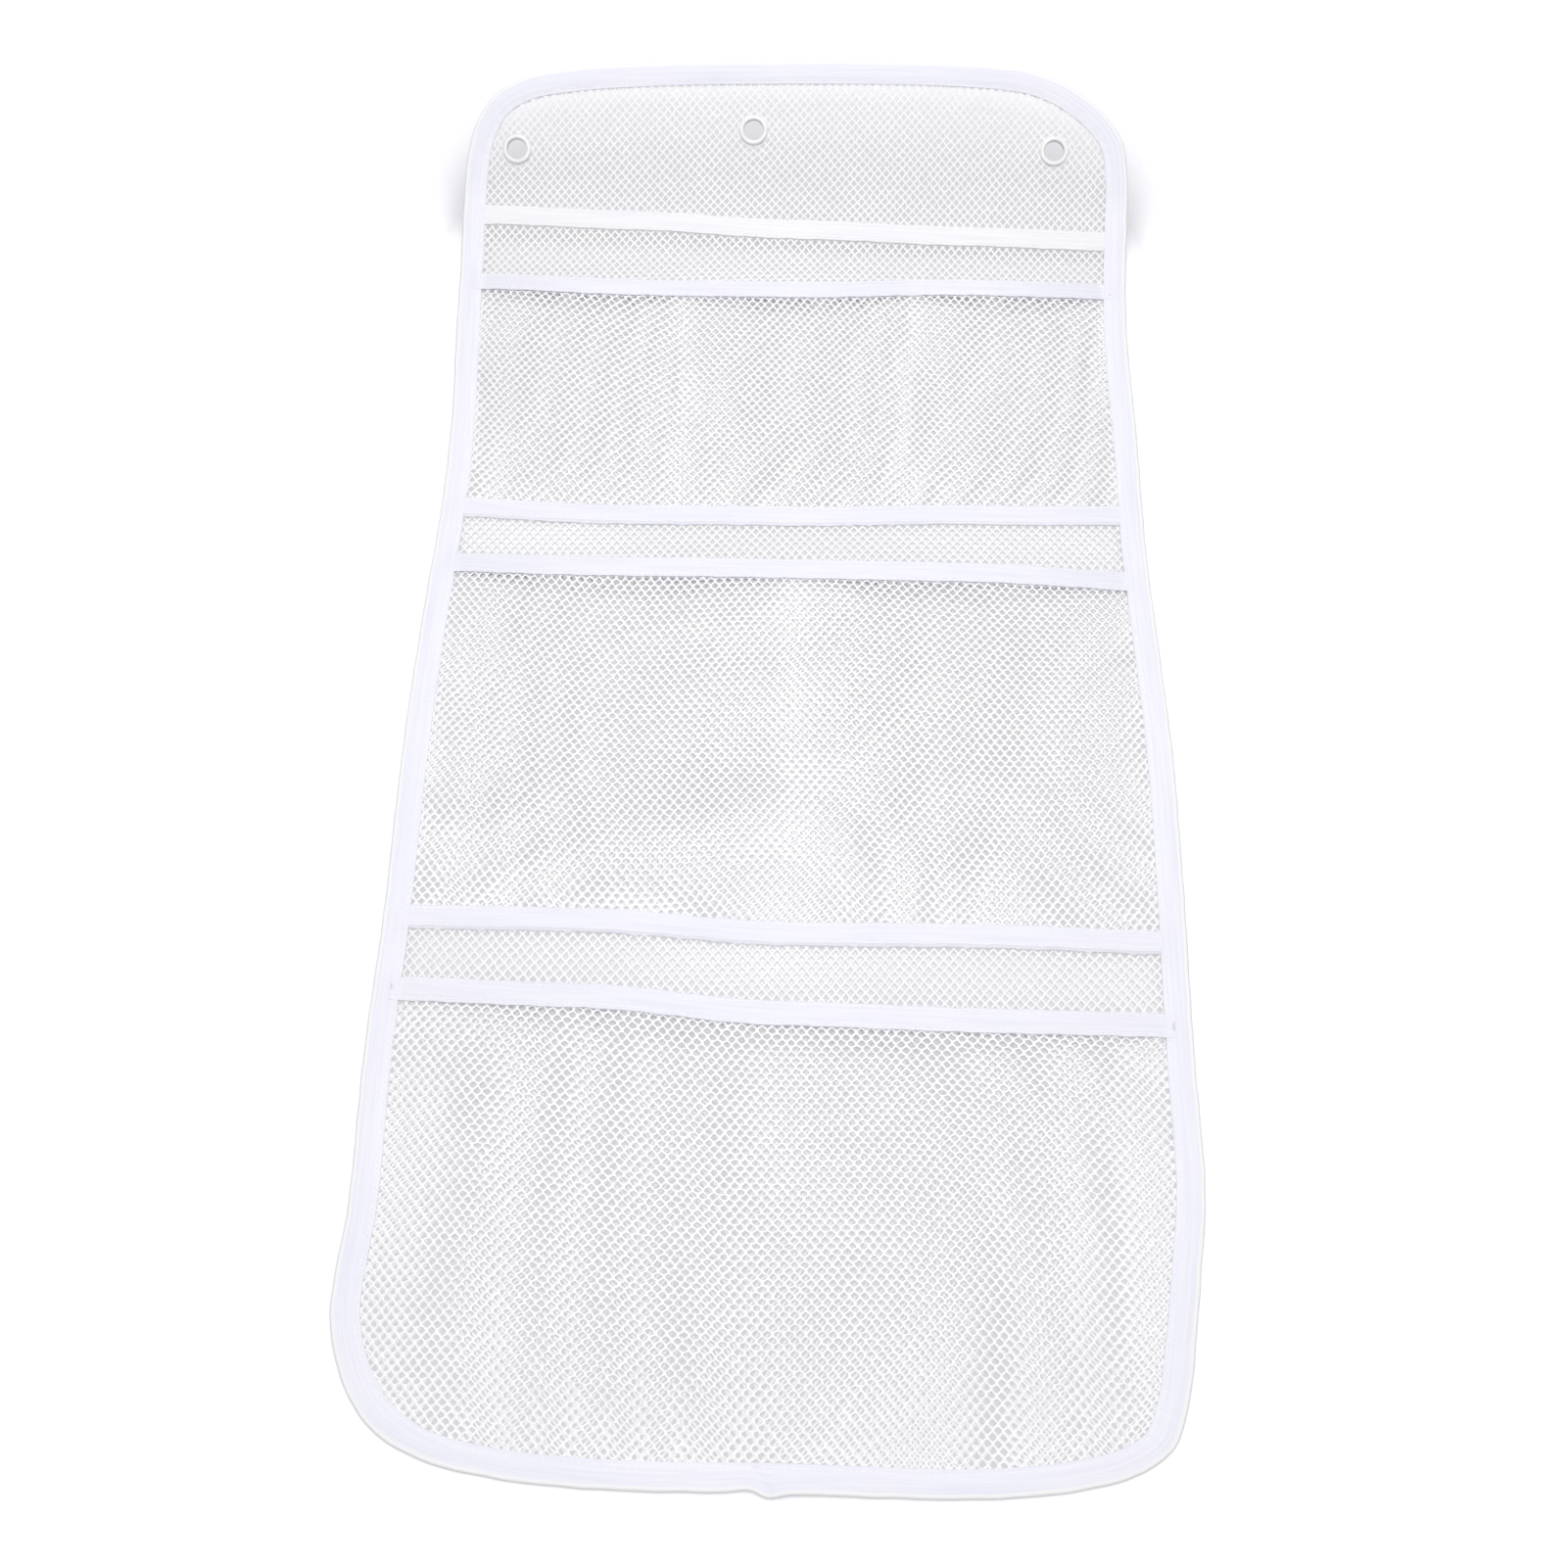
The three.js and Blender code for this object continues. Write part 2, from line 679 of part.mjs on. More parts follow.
function turned(profilePoints) {
  const points = [...profilePoints, profilePoints[0]].map(([r, z]) => new THREE.Vector2(r, z));
  return new THREE.LatheGeometry(points, grommetSides).rotateX(Math.PI / 2);
}

// Cloth and plastic finishes
const netCloth = new THREE.MeshStandardMaterial({ color: 0xf1f1f5, roughness: 0.85, metalness: 0 });
const pocketCloth = new THREE.MeshStandardMaterial({ color: 0xf2f2f6, roughness: 0.85, metalness: 0 });
const tapeCloth = new THREE.MeshStandardMaterial({ color: 0xf3f2fb, roughness: 0.7, metalness: 0 });
const headerCloth = new THREE.MeshStandardMaterial({ color: 0xf5f5f7, roughness: 0.7, metalness: 0 });
const thread = new THREE.MeshStandardMaterial({ color: 0xf7f7fa, roughness: 0.6, metalness: 0 });
const plastic = new THREE.MeshStandardMaterial({ color: 0xefefef, roughness: 0.25, metalness: 0 });

const caddy = new THREE.Group();

function add(name, geometry, material) {
  const mesh = new THREE.Mesh(geometry, material);
  mesh.name = name;
  caddy.add(mesh);
  return mesh;
}

// Sheets and binding
add('back_panel', backPanel(), netCloth);
add('upper_pocket_panel', pocketPanel(upperRow), pocketCloth);
add('middle_pocket_panel', pocketPanel(middleRow), pocketCloth);
add('lower_pocket_panel', pocketPanel(lowerRow), pocketCloth);
add('edge_binding', edgeBinding(), tapeCloth);
add('edge_binding_stitch', bindingStitch(), thread);

// Cross tapes with their two thread rows
function addTape(name, stations, tape, tapeTop, material) {
  add(name, tape, material);
  add(`${name}_stitch_upper`, tapeStitch(stations, tapeTop, 1), thread);
  add(`${name}_stitch_lower`, tapeStitch(stations, tapeTop, -1), thread);
}

function addRimTape(name, row) {
  const tapeTop = pocketNetLevel + netThickness + clearance + tapeThickness;
  addTape(name, rimStations(row), rimTape(row), tapeTop, tapeCloth);
}

function addFlatTape(name, height, drift, level, material) {
  const stations = flatStations(height, drift, bindingGap);
  addTape(name, stations, flatTape(stations, level), level + tapeThickness, material);
}

addFlatTape('header_tape', headerTapeHeight, headerDriftShares, backNetTop + clearance, headerCloth);
addRimTape('upper_rim_tape', upperRow);
addFlatTape('upper_base_tape', upperBaseHeight, upperBaseDriftShares, coverLevel, tapeCloth);
addRimTape('middle_rim_tape', middleRow);
addFlatTape('middle_base_tape', middleBaseHeight, middleBaseDriftShares, coverLevel, tapeCloth);
addRimTape('lower_rim_tape', lowerRow);

// Pocket dividers
add('upper_divider_seam_left', dividerSeam(upperRow, 0), thread);
add('upper_divider_seam_right', dividerSeam(upperRow, 1), thread);
add('middle_divider_seam', dividerSeam(middleRow, 0), thread);

// Grommets stand square to the curled header
Object.entries(grommetPlaces).forEach(([name, centre]) => {
  const seat = place(centre.x, centre.y, 0);
  const pieces = [
    add(`grommet_${name}_eyelet`, eyelet(), plastic),
    add(`grommet_${name}_washer`, washer(), plastic),
  ];
  pieces.forEach((piece) => {
    piece.position.copy(seat);
    piece.rotation.x = profile.at(-1).angle;
  });
});

// The origin is the middle of the resting face's box
const box = new THREE.Box3().setFromObject(caddy);
const middle = box.getCenter(new THREE.Vector3());
caddy.position.set(-middle.x, -middle.y, -box.min.z);

export default caddy;
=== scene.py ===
import math

import bpy
import numpy as np
from mathutils import Matrix, Vector


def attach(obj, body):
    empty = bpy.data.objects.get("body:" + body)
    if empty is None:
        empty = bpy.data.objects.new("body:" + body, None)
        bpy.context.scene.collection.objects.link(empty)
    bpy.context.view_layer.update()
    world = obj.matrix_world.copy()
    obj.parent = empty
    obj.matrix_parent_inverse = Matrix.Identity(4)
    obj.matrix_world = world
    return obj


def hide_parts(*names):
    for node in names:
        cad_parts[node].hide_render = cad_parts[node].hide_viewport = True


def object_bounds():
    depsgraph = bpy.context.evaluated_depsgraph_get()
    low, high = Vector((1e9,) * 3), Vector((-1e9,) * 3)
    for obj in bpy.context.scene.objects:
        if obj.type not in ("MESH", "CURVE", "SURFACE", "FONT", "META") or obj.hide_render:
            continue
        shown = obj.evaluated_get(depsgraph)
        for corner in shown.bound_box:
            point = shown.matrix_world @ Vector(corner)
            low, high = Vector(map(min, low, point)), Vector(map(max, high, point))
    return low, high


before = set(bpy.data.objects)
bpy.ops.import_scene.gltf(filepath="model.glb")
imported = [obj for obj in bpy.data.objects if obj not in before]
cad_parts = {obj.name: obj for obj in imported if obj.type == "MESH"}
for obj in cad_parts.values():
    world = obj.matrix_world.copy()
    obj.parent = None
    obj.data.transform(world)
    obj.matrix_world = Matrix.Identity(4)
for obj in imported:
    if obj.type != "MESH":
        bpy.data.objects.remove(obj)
cad_low, cad_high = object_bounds()

MM = 0.001
BODY = "root"

# Driving sizes of the cloth
CLOTH_WIDTH = 360.0
CLOTH_LENGTH = 730.0
BINDING_WIDTH = 12.0
TAPE_WIDTH = 11.0
TAPE_THICKNESS = 0.4
CLEARANCE = 0.3
RIM_RAISE = TAPE_THICKNESS + CLEARANCE
BINDING_GAP = 1.2
BOTTOM_RUN = 18.0
MOUTH_RUN = 16.0
BELLY_RISE_SHARE = 0.5
HALF_TAPE = TAPE_WIDTH / 2

# Levels through the cloth
BINDING_UNDER_LEVEL = 0.2
BINDING_OVER_LEVEL = 2.3
BACK_NET_LEVEL = 0.8
POCKET_NET_LEVEL = 1.5
HELD_NET_LEVEL = 1.1
RIM_UNDER_LEVEL = 0.9
RIM_OVER_LEVEL = 2.3
BASE_TAPE_LEVEL = 2.3
HEADER_TAPE_LEVEL = 1.6

# Each cross tape's middle above the bottom edge, and its drift from straight, left to
# right, as shares of the tape's width
LOWER_RIM = (197.0, [0.45, 0.3, -0.25, -0.4, -0.45])
MIDDLE_BASE = (233.0, [0.25, 0.25, -0.15, -0.1, -0.25])
MIDDLE_RIM = (422.0, [0.05, -0.05, 0.0, 0.0, -0.3])
UPPER_BASE = (456.0, [0.0, -0.25, -0.2, 0.1, 0.2])
UPPER_RIM = (601.0, [0.05, -0.15, -0.1, 0.25, 0.15])
HEADER = (640.0, [0.4, 0.25, -0.05, -0.25, -0.4])

# The header's two bends, and the steps that their arcs are summed in
LOWER_BEND = (608.0, 626.0)
UPPER_BEND = (648.75, 666.75)
LOWER_BEND_ANGLE = math.radians(16.5)
UPPER_BEND_ANGLE = math.radians(16.0)
TABLE_STEP = 0.25
TABLE_MARGIN = 30.0

# Grommets
GROMMET_OUTER_RADIUS = 7.7
GROMMET_BORE_RADIUS = 5.4
GROMMET_BARREL_RADIUS = 6.2
GROMMET_PLACES = {"left": (-155.0, 681.0), "centre": (-25.0, 693.5), "right": (140.5, 685.5)}

# The outline, anticlockwise from the middle of the bottom edge, as shares of half the
# cloth's width and of its length
OUTLINE_SHARES = [
    (0.0, 0.001), (0.45, 0.0), (0.66, 0.005), (0.79, 0.013), (0.87, 0.026), (0.915, 0.05),
    (0.945, 0.085), (0.97, 0.122), (0.995, 0.165), (0.998, 0.245), (1.01, 0.37),
    (1.012, 0.45), (1.0, 0.53), (0.99, 0.6), (0.992, 0.69), (0.99, 0.79), (1.005, 0.86),
    (1.008, 0.92), (0.985, 0.948), (0.93, 0.966), (0.845, 0.982), (0.72, 0.995),
    (0.52, 1.0), (0.0, 1.0), (-0.47, 0.996), (-0.7, 0.991), (-0.84, 0.984),
    (-0.93, 0.971), (-0.985, 0.95), (-1.015, 0.92), (-1.022, 0.87), (-1.01, 0.79),
    (-0.988, 0.7), (-0.985, 0.63), (-1.0, 0.53), (-1.006, 0.44), (-1.0, 0.32),
    (-1.004, 0.24), (-0.995, 0.15), (-1.004, 0.09), (-0.97, 0.06), (-0.9, 0.034),
    (-0.79, 0.016), (-0.62, 0.006), (-0.35, 0.001),
]
OUTLINE_POINTS = 1200
COARSE_STEP = 3
CURVE_STEPS = 60

random = np.random.default_rng(7)


# Cloth in space

def bend_table():
    """Heights along the cloth with the slope, the y and the z that the two bends give."""
    s = np.arange(-TABLE_MARGIN, CLOTH_LENGTH + TABLE_MARGIN, TABLE_STEP)
    turns = [0.0, LOWER_BEND_ANGLE, LOWER_BEND_ANGLE, LOWER_BEND_ANGLE + UPPER_BEND_ANGLE]
    angle = np.interp(s, [*LOWER_BEND, *UPPER_BEND], turns)
    middle = (angle[1:] + angle[:-1]) / 2
    y = np.concatenate([[0.0], np.cumsum(np.cos(middle))]) * TABLE_STEP - TABLE_MARGIN
    z = np.concatenate([[0.0], np.cumsum(np.sin(middle))]) * TABLE_STEP
    return s, angle, y, z


def lengths_along(points):
    """How far along a line of points each one is."""
    steps = np.linalg.norm(np.diff(points, axis=0), axis=1)
    return np.concatenate([[0.0], np.cumsum(steps)])


def smooth_outline():
    """Evenly spaced points, their directions into the cloth, and how far round they lie."""
    points = np.array(OUTLINE_SHARES) * [CLOTH_WIDTH / 2, CLOTH_LENGTH]
    p0, p1, p2, p3 = (np.roll(points, shift, axis=0) for shift in (1, 0, -1, -2))
    d0, d1, d2 = (np.sqrt(np.linalg.norm(b - a, axis=1))[:, None]
                  for a, b in ((p0, p1), (p1, p2), (p2, p3)))
    t1 = ((p1 - p0) / d0 - (p2 - p0) / (d0 + d1) + (p2 - p1) / d1) * d1
    t2 = ((p2 - p1) / d1 - (p3 - p1) / (d1 + d2) + (p3 - p2) / d2) * d1
    u = (np.arange(CURVE_STEPS) / CURVE_STEPS)[None, :, None]
    c2 = (-3 * p1 + 3 * p2 - 2 * t1 - t2)[:, None]
    c3 = (2 * p1 - 2 * p2 + t1 + t2)[:, None]
    curve = (p1[:, None] + t1[:, None] * u + c2 * u**2 + c3 * u**3).reshape(-1, 2)
    ring = np.vstack([curve, curve[:1]])
    along = lengths_along(ring)
    at = np.arange(OUTLINE_POINTS) * along[-1] / OUTLINE_POINTS
    even = np.stack([np.interp(at, along, ring[:, k]) for k in (0, 1)], axis=1)
    tangent = np.roll(even, -1, axis=0) - np.roll(even, 1, axis=0)
    tangent /= np.linalg.norm(tangent, axis=1)[:, None]
    inward = np.stack([-tangent[:, 1], tangent[:, 0]], axis=1)
    return even, inward, at, along[-1]


BEND_S, BEND_ANGLE, BEND_Y, BEND_Z = bend_table()
OUTLINE, INWARD, OUTLINE_AT, PERIMETER = smooth_outline()
SHIFT_X = cad_low.x / MM - OUTLINE[:, 0].min()
SHIFT_Y = cad_low.y / MM - OUTLINE[:, 1].min()

RIPPLE = 0.8
SWELL_SHARE = 0.6


def ripple(x, s):
    """How far the cloth stands off the table in slow waves, never below it."""
    bumps = np.sin(x / 46 + 1.3) * np.sin(s / 58 + 0.4)
    wave = bumps + SWELL_SHARE * np.sin(x / 31 - s / 77 + 2.0)
    return RIPPLE * (0.5 + wave / (2 + 2 * SWELL_SHARE))


def place(x, s, t):
    """Metres in the row frame of cloth points."""
    x, s, t = np.broadcast_arrays(*(np.asarray(value, float) for value in (x, s, t)))
    t = t + ripple(x, s)
    angle = np.interp(s, BEND_S, BEND_ANGLE)
    y = np.interp(s, BEND_S, BEND_Y) - t * np.sin(angle)
    z = np.interp(s, BEND_S, BEND_Z) + t * np.cos(angle)
    return np.stack([x + SHIFT_X, y + SHIFT_Y, z], axis=-1) * MM


def smoothstep(value, low, high):
    share = np.clip((value - low) / (high - low), 0.0, 1.0)
    return share * share * (3 - 2 * share)


def bell(distance, half_width):
    """One at no distance, falling smoothly to nothing on both sides."""
    return np.exp(-((distance / half_width) ** 2))


def inset_outline(inset):
    return OUTLINE + INWARD * inset


def inside(x, s, polygon):
    """True for each cloth point inside a polygon, by the even-odd rule."""
    found = np.zeros(len(x), bool)
    ends = np.roll(polygon, -1, axis=0)
    for (ax, ay), (bx, by) in zip(polygon, ends):
        if ay == by:
            continue
        crosses = (ay > s) != (by > s)
        found ^= crosses & (x < ax + (bx - ax) * (s - ay) / (by - ay))
    return found


def side_table(inset):
    """The left and right edge of the cloth at each height, drawn in by an inset."""
    edge = inset_outline(inset)
    table = []
    for side in (-1, 1):
        half = edge[edge[:, 0] * side > 0]
        half = half[np.argsort(half[:, 1])]
        table.append((half[:, 1], half[:, 0]))
    return table


SIDES = side_table(BINDING_WIDTH)


def side_x(s, side):
    """Where the binding's inner edge crosses a height, on the left (-1) or the right (1)."""
    heights, across = SIDES[0 if side < 0 else 1]
    return np.interp(np.maximum(s, BOTTOM_RUN), heights, across)


def tape_line(tape, x):
    """The middle of a cross tape at places across the cloth."""
    height, shares = tape
    across = np.clip(np.asarray(x) / CLOTH_WIDTH + 0.5, 0, 1) * (len(shares) - 1)
    i = np.minimum(across.astype(int), len(shares) - 2)
    blend = smoothstep(across - i, 0, 1)
    shares = np.array(shares)
    return height + (shares[i] + (shares[i + 1] - shares[i]) * blend) * TAPE_WIDTH


# Rows of pockets

# The dent in the middle of the row that is one wide pocket
CREASE_X = 3.0
CREASE_HALF = 22.0
CREASE_SHARE = 0.25


class Row:
    """A row of pockets: its base and mouth lines, its seams and how its cloth stands up."""

    def __init__(self, base, rim, seams, lift, sag_share):
        self.base = base
        self.rim = rim
        self.base_height = base[0] if base else 0.0
        self.rim_height = rim[0]
        self.seams = seams
        self.lift = lift
        self.sag_share = sag_share

    def seam_x(self, index, s):
        """A seam leans a little: it has one place at the mouth and one at the base."""
        at_mouth, at_base = self.seams[index]
        share = (self.rim_height - s) / (self.rim_height - self.base_height)
        return at_mouth + (at_base - at_mouth) * share

    def share_across(self, x, s):
        """How far across its own pocket a cloth point lies, from 0 to 1."""
        stops = [side_x(s, -1) + BINDING_GAP + RIM_RAISE]
        stops += [self.seam_x(i, s) for i in range(len(self.seams))]
        stops.append(side_x(s, 1) - BINDING_GAP - RIM_RAISE)
        share = np.zeros(np.broadcast(x, s).shape)
        for start, end in zip(stops, stops[1:]):
            within = (x >= start) & (x <= end)
            share = np.where(within, (x - start) / (end - start), share)
        return share

    def arch(self, x, s):
        """How high the open pocket stands, before the rise from its base."""
        dent = 0.0
        if not self.seams:
            dent = CREASE_SHARE * bell(x - CREASE_X, CREASE_HALF)
        return self.lift * np.sin(np.pi * self.share_across(x, s)) * (1 - dent)

    def rim_line(self, x):
        """The middle of the mouth tape, which sags at an open pocket."""
        sag = self.sag_share * self.arch(x, self.rim_height)
        return tape_line(self.rim, x) - sag

    def base_line(self, x):
        """The middle of the base tape, or else the cloth's bottom edge."""
        return tape_line(self.base, x) if self.base else np.zeros(np.shape(x))

    def belly_start(self, x):
        """Where the pocket's cloth comes free of what holds its base."""
        return self.base_line(x) + (HALF_TAPE if self.base else BINDING_WIDTH + BINDING_GAP)

    def lift_at(self, x, s):
        """Height of the pocket's cloth above where it would lie flat."""
        mouth = self.rim_line(x) - HALF_TAPE
        start = self.belly_start(x)
        along = np.clip((s - start) / (mouth - MOUTH_RUN - start), 0, 1)
        rise = np.sin(np.pi / 2 * np.minimum(1, along / BELLY_RISE_SHARE))
        return self.arch(x, s) * rise + RIM_RAISE * smoothstep(s, mouth - MOUTH_RUN, mouth)


UPPER = Row(UPPER_BASE, UPPER_RIM, [(-61.5, -56.0), (62.7, 60.7)], 7.0, 0.85)
MIDDLE = Row(MIDDLE_BASE, MIDDLE_RIM, [(2.1, 4.8)], 8.0, 0.6)
LOWER = Row(None, LOWER_RIM, [], 9.0, 0.3)
ROWS = {"upper": UPPER, "middle": MIDDLE, "lower": LOWER}


# Meshes

def link(name, data):
    holder = bpy.data.objects.new(name, data)
    bpy.context.scene.collection.objects.link(holder)
    return holder


def make_piece(name, points, faces, uvs=None):
    """A mesh object from points in metres, faces as arrays of corners, and corner uvs."""
    mesh = bpy.data.meshes.new(name)
    counts = np.concatenate([np.full(len(group), group.shape[1]) for group in faces])
    corners = np.concatenate([group.ravel() for group in faces]).astype(np.int32)
    points = np.asarray(points, np.float32).reshape(-1, 3)
    mesh.vertices.add(len(points))
    mesh.vertices.foreach_set("co", points.ravel())
    mesh.loops.add(len(corners))
    mesh.loops.foreach_set("vertex_index", corners)
    mesh.polygons.add(len(counts))
    starts = np.concatenate([[0], np.cumsum(counts)[:-1]]).astype(np.int32)
    mesh.polygons.foreach_set("loop_start", starts)
    mesh.polygons.foreach_set("use_smooth", np.ones(len(counts), bool))
    if uvs is not None:
        layer = mesh.uv_layers.new(name="cloth")
        layer.data.foreach_set("uv", np.asarray(uvs, np.float32).ravel())
    mesh.update(calc_edges=True)
    mesh.validate()
    return link(name, mesh)


def dress(piece, material, slot, *nodes):
    piece.data.materials.append(material)
    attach(piece, BODY)
    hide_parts(*nodes)
    return piece


def sweep(name, sections, lengths, closed):
    """A skin over sections of points, the same count in each. lengths holds how far along
    each station is and how far round each point is, for the weave's coordinates."""
    stations, count = sections.shape[:2]
    along, around = lengths
    runs = stations if closed else stations - 1
    i, k = np.meshgrid(np.arange(runs), np.arange(count), indexing="ij")
    i, k = i.ravel(), k.ravel()
    i2, k2 = (i + 1) % stations, (k + 1) % count
    quads = np.stack([i * count + k, i * count + k2, i2 * count + k2, i2 * count + k], axis=1)
    u = np.stack([along[i], along[i], along[i + 1], along[i + 1]], axis=1)
    v = np.stack([around[k], around[k + 1], around[k + 1], around[k]], axis=1)
    uvs = np.stack([u, v], axis=-1).reshape(-1, 2)
    faces = [quads]
    if not closed:
        ends = np.stack([np.arange(count)[::-1], (stations - 1) * count + np.arange(count)])
        faces.append(ends)
        uvs = np.vstack([uvs, np.zeros((2 * count, 2))])
    return make_piece(name, sections, faces, uvs)


EDGE_SHARE = 0.55


def thicken(across, height, thickness):
    """The closed section of a tape from its middle line, thinner at its two ends."""
    points = np.stack([across, height], axis=-1)
    ahead = np.concatenate([points[..., 1:, :], points[..., -1:, :]], axis=-2)
    behind = np.concatenate([points[..., :1, :], points[..., :-1, :]], axis=-2)
    tangent = ahead - behind
    tangent = tangent / np.linalg.norm(tangent, axis=-1, keepdims=True)
    normal = np.stack([-tangent[..., 1], tangent[..., 0]], axis=-1)
    share = np.ones(points.shape[-2])
    share[[0, -1]] = EDGE_SHARE
    offset = normal * (share * thickness / 2)[:, None]
    return np.concatenate([points + offset, (points - offset)[..., ::-1, :]], axis=-2)


def section_lengths(section):
    """How far round its section each point of a tape is, with the closing step."""
    return lengths_along(np.vstack([section, section[:1]]))


# Nets

# Each net's cell across and along, and where its grid starts
BACK_CELL = (4.45, 5.0)
POCKET_CELLS = {"upper": (4.33, 5.6), "middle": (4.3, 5.3), "lower": (4.38, 4.95)}
BACK_START = (0.3, 0.2)
POCKET_START = (1.1, 0.9)

# How long the back net's cells are at some heights
BACK_CELLS_ALONG = [(-60.0, 5.0), (100.0, 5.0), (215.0, 5.2), (330.0, 5.25), (440.0, 5.3),
                    (530.0, 5.55), (620.0, 5.4), (680.0, 5.0), (790.0, 5.0)]

# A hole's corners: steps on the grid, the end of the knot, and the share left open there
DIAMOND = [(0, -1, 0, 0.73), (1, 0, 0, 0.71), (0, 1, 0, 0.73), (-1, 0, 0, 0.71)]
LONG_HOLE = [(0, -1, 1, 0.86), (1, 0, -1, 0.72), (1, 0, 1, 0.72),
             (0, 1, -1, 0.86), (-1, 0, 1, 0.72), (-1, 0, -1, 0.72)]

POCKET_KNOT = 0.68
CROWN = 0.26
NODE_JITTER = 0.16
HOLE_JITTER = 0.05
NET_HOLD = 3.0
NET_TUCK = 1.0
HOLD_RUN = 2.0
BARREL_CLEARANCE = 0.4
TINY = 1e-6

# The grids reach past the cloth, because they are warped before they are cut
GRID_WIDTH_SHARE = 0.6
GRID_LENGTH_SHARE = 1.1
GRID_PART_BELOW = 8

# The nets' slants, and their slow waves across and along: size, reaches and start
STRAIGHT = math.inf
FULL_TURN = 2 * math.pi
BACK_GRAIN = (0.025, [(1.3, STRAIGHT, 53, 0.7), (0.8, 37, 91, 0.0)],
              [(1.2, 49, STRAIGHT, 1.1), (0.9, -71, 43, 0.0)])
POCKET_GRAINS = {
    "upper": (-0.215, [(1.1, 64, 27, 0.0), (1.2, 38, STRAIGHT, 2.0)],
              [(1.6, 33, STRAIGHT, 0.5), (0.8, STRAIGHT, 31, 0.0)]),
    "middle": (-0.035, [(1.3, STRAIGHT, 33, 1.0), (1.0, 41, -50, 0.0)],
               [(-4.4, 180 / FULL_TURN, STRAIGHT, FULL_TURN * 125 / 180), (1.5, 60, 29, 0.0)]),
    "lower": (-0.07, [(1.2, STRAIGHT, 36, 0.3), (1.1, 44, 57, 0.0)],
              [(-2.6, 200 / FULL_TURN, STRAIGHT, FULL_TURN * 80 / 200), (1.2, -52, 34, 0.0)]),
}


def net(name, cell, start, warp, keep, level, knot=0.0):
    """A knitted net: thread stretches round each kept hole, each with a raised middle.
    warp moves cloth points, keep says which holes are in the cut, and a knot is half
    the upright stretch where two threads run side by side."""
    half_x, half_s = cell[0] / 2, cell[1] / 2
    columns = int(CLOTH_WIDTH * GRID_WIDTH_SHARE / half_x)
    rows = int(CLOTH_LENGTH * GRID_LENGTH_SHARE / half_s)
    i, j = np.meshgrid(np.arange(-columns, columns + 1),
                       np.arange(-rows // GRID_PART_BELOW, rows + 1), indexing="ij")
    x = i * half_x + start[0] + random.normal(0, NODE_JITTER, i.shape)
    s = j * half_s + start[1] + random.normal(0, NODE_JITTER, i.shape)
    ends = [warp(x, s + side * knot) for side in (-1, 1)]
    x, s = (np.stack(values) for values in zip(*ends))
    holes = (i + j) % 2 == 1
    holes[[0, -1], :] = False
    holes[:, [0, -1]] = False
    hi, hj = np.nonzero(holes)
    ring = LONG_HOLE if knot else DIAMOND
    flat = np.stack([(side > 0) * i.size + (hi + di) * i.shape[1] + hj + dj
                     for di, dj, side, _ in ring])
    cx, cs = x.ravel()[flat], s.ravel()[flat]
    kept = keep(cx.mean(axis=0), cs.mean(axis=0))
    flat, cx, cs = flat[:, kept], cx[:, kept], cs[:, kept]
    middle_x, middle_s = cx.mean(axis=0), cs.mean(axis=0)
    shares = np.array([corner[-1] for corner in ring])[:, None]
    shares = shares * (1 + random.normal(0, HOLE_JITTER, cx.shape))
    inner_x = middle_x + (cx - middle_x) * shares
    inner_s = middle_s + (cs - middle_s) * shares
    used, joint = np.unique(flat, return_inverse=True)
    joint = joint.reshape(flat.shape)
    joint_x, joint_s = x.ravel()[used], s.ravel()[used]
    joints = place(joint_x, joint_s, level(joint_x, joint_s) + CROWN)
    inners = place(inner_x, inner_s, level(inner_x, inner_s))
    inner = len(used) + np.arange(inner_x.size).reshape(inner_x.shape)
    quads = np.stack([joint, np.roll(joint, -1, axis=0), np.roll(inner, -1, axis=0), inner],
                     axis=-1)
    points = np.vstack([joints, inners.reshape(-1, 3)])
    return make_piece(name, points, [quads.reshape(-1, 4)])


def around_grommets(x, s):
    """The back net's threads drawn aside by the grommets' barrels."""
    for gx, gs in GROMMET_PLACES.values():
        dx, ds = x - gx, s - gs
        r = np.hypot(dx, ds) + TINY
        pushed = (r**3 + GROMMET_BARREL_RADIUS**3) ** (1 / 3)
        x = gx + dx * pushed / r
        s = gs + ds * pushed / r
    return x, s


def stretched(s):
    """The back net's cells are longer in some stretches of the cloth than in others."""
    heights = np.arange(BACK_CELLS_ALONG[0][0], BACK_CELLS_ALONG[-1][0])
    cells = np.interp(heights, *zip(*BACK_CELLS_ALONG))
    rows = np.cumsum(BACK_CELL[1] / cells) + heights[0]
    return np.interp(s, rows, heights)


def wavy(value, x, s, waves):
    """A cloth value with slow waves over the cloth added to it."""
    for size, across, along, start in waves:
        value = value + size * np.sin(x / across + s / along + start)
    return value


def drawn(x, s, grain):
    """Cloth points of a straight grid, moved to where a net's grain has them."""
    slant, waves_across, waves_along = grain
    return wavy(x, x, s, waves_across), wavy(s + slant * x, x, s, waves_along)


def back_warp(x, s):
    return around_grommets(*drawn(x, stretched(s), BACK_GRAIN))


def pocket_warp(grain):
    return lambda x, s: drawn(x, s, grain)


# How many points are measured at a time
DEPTH_BLOCK = 4000


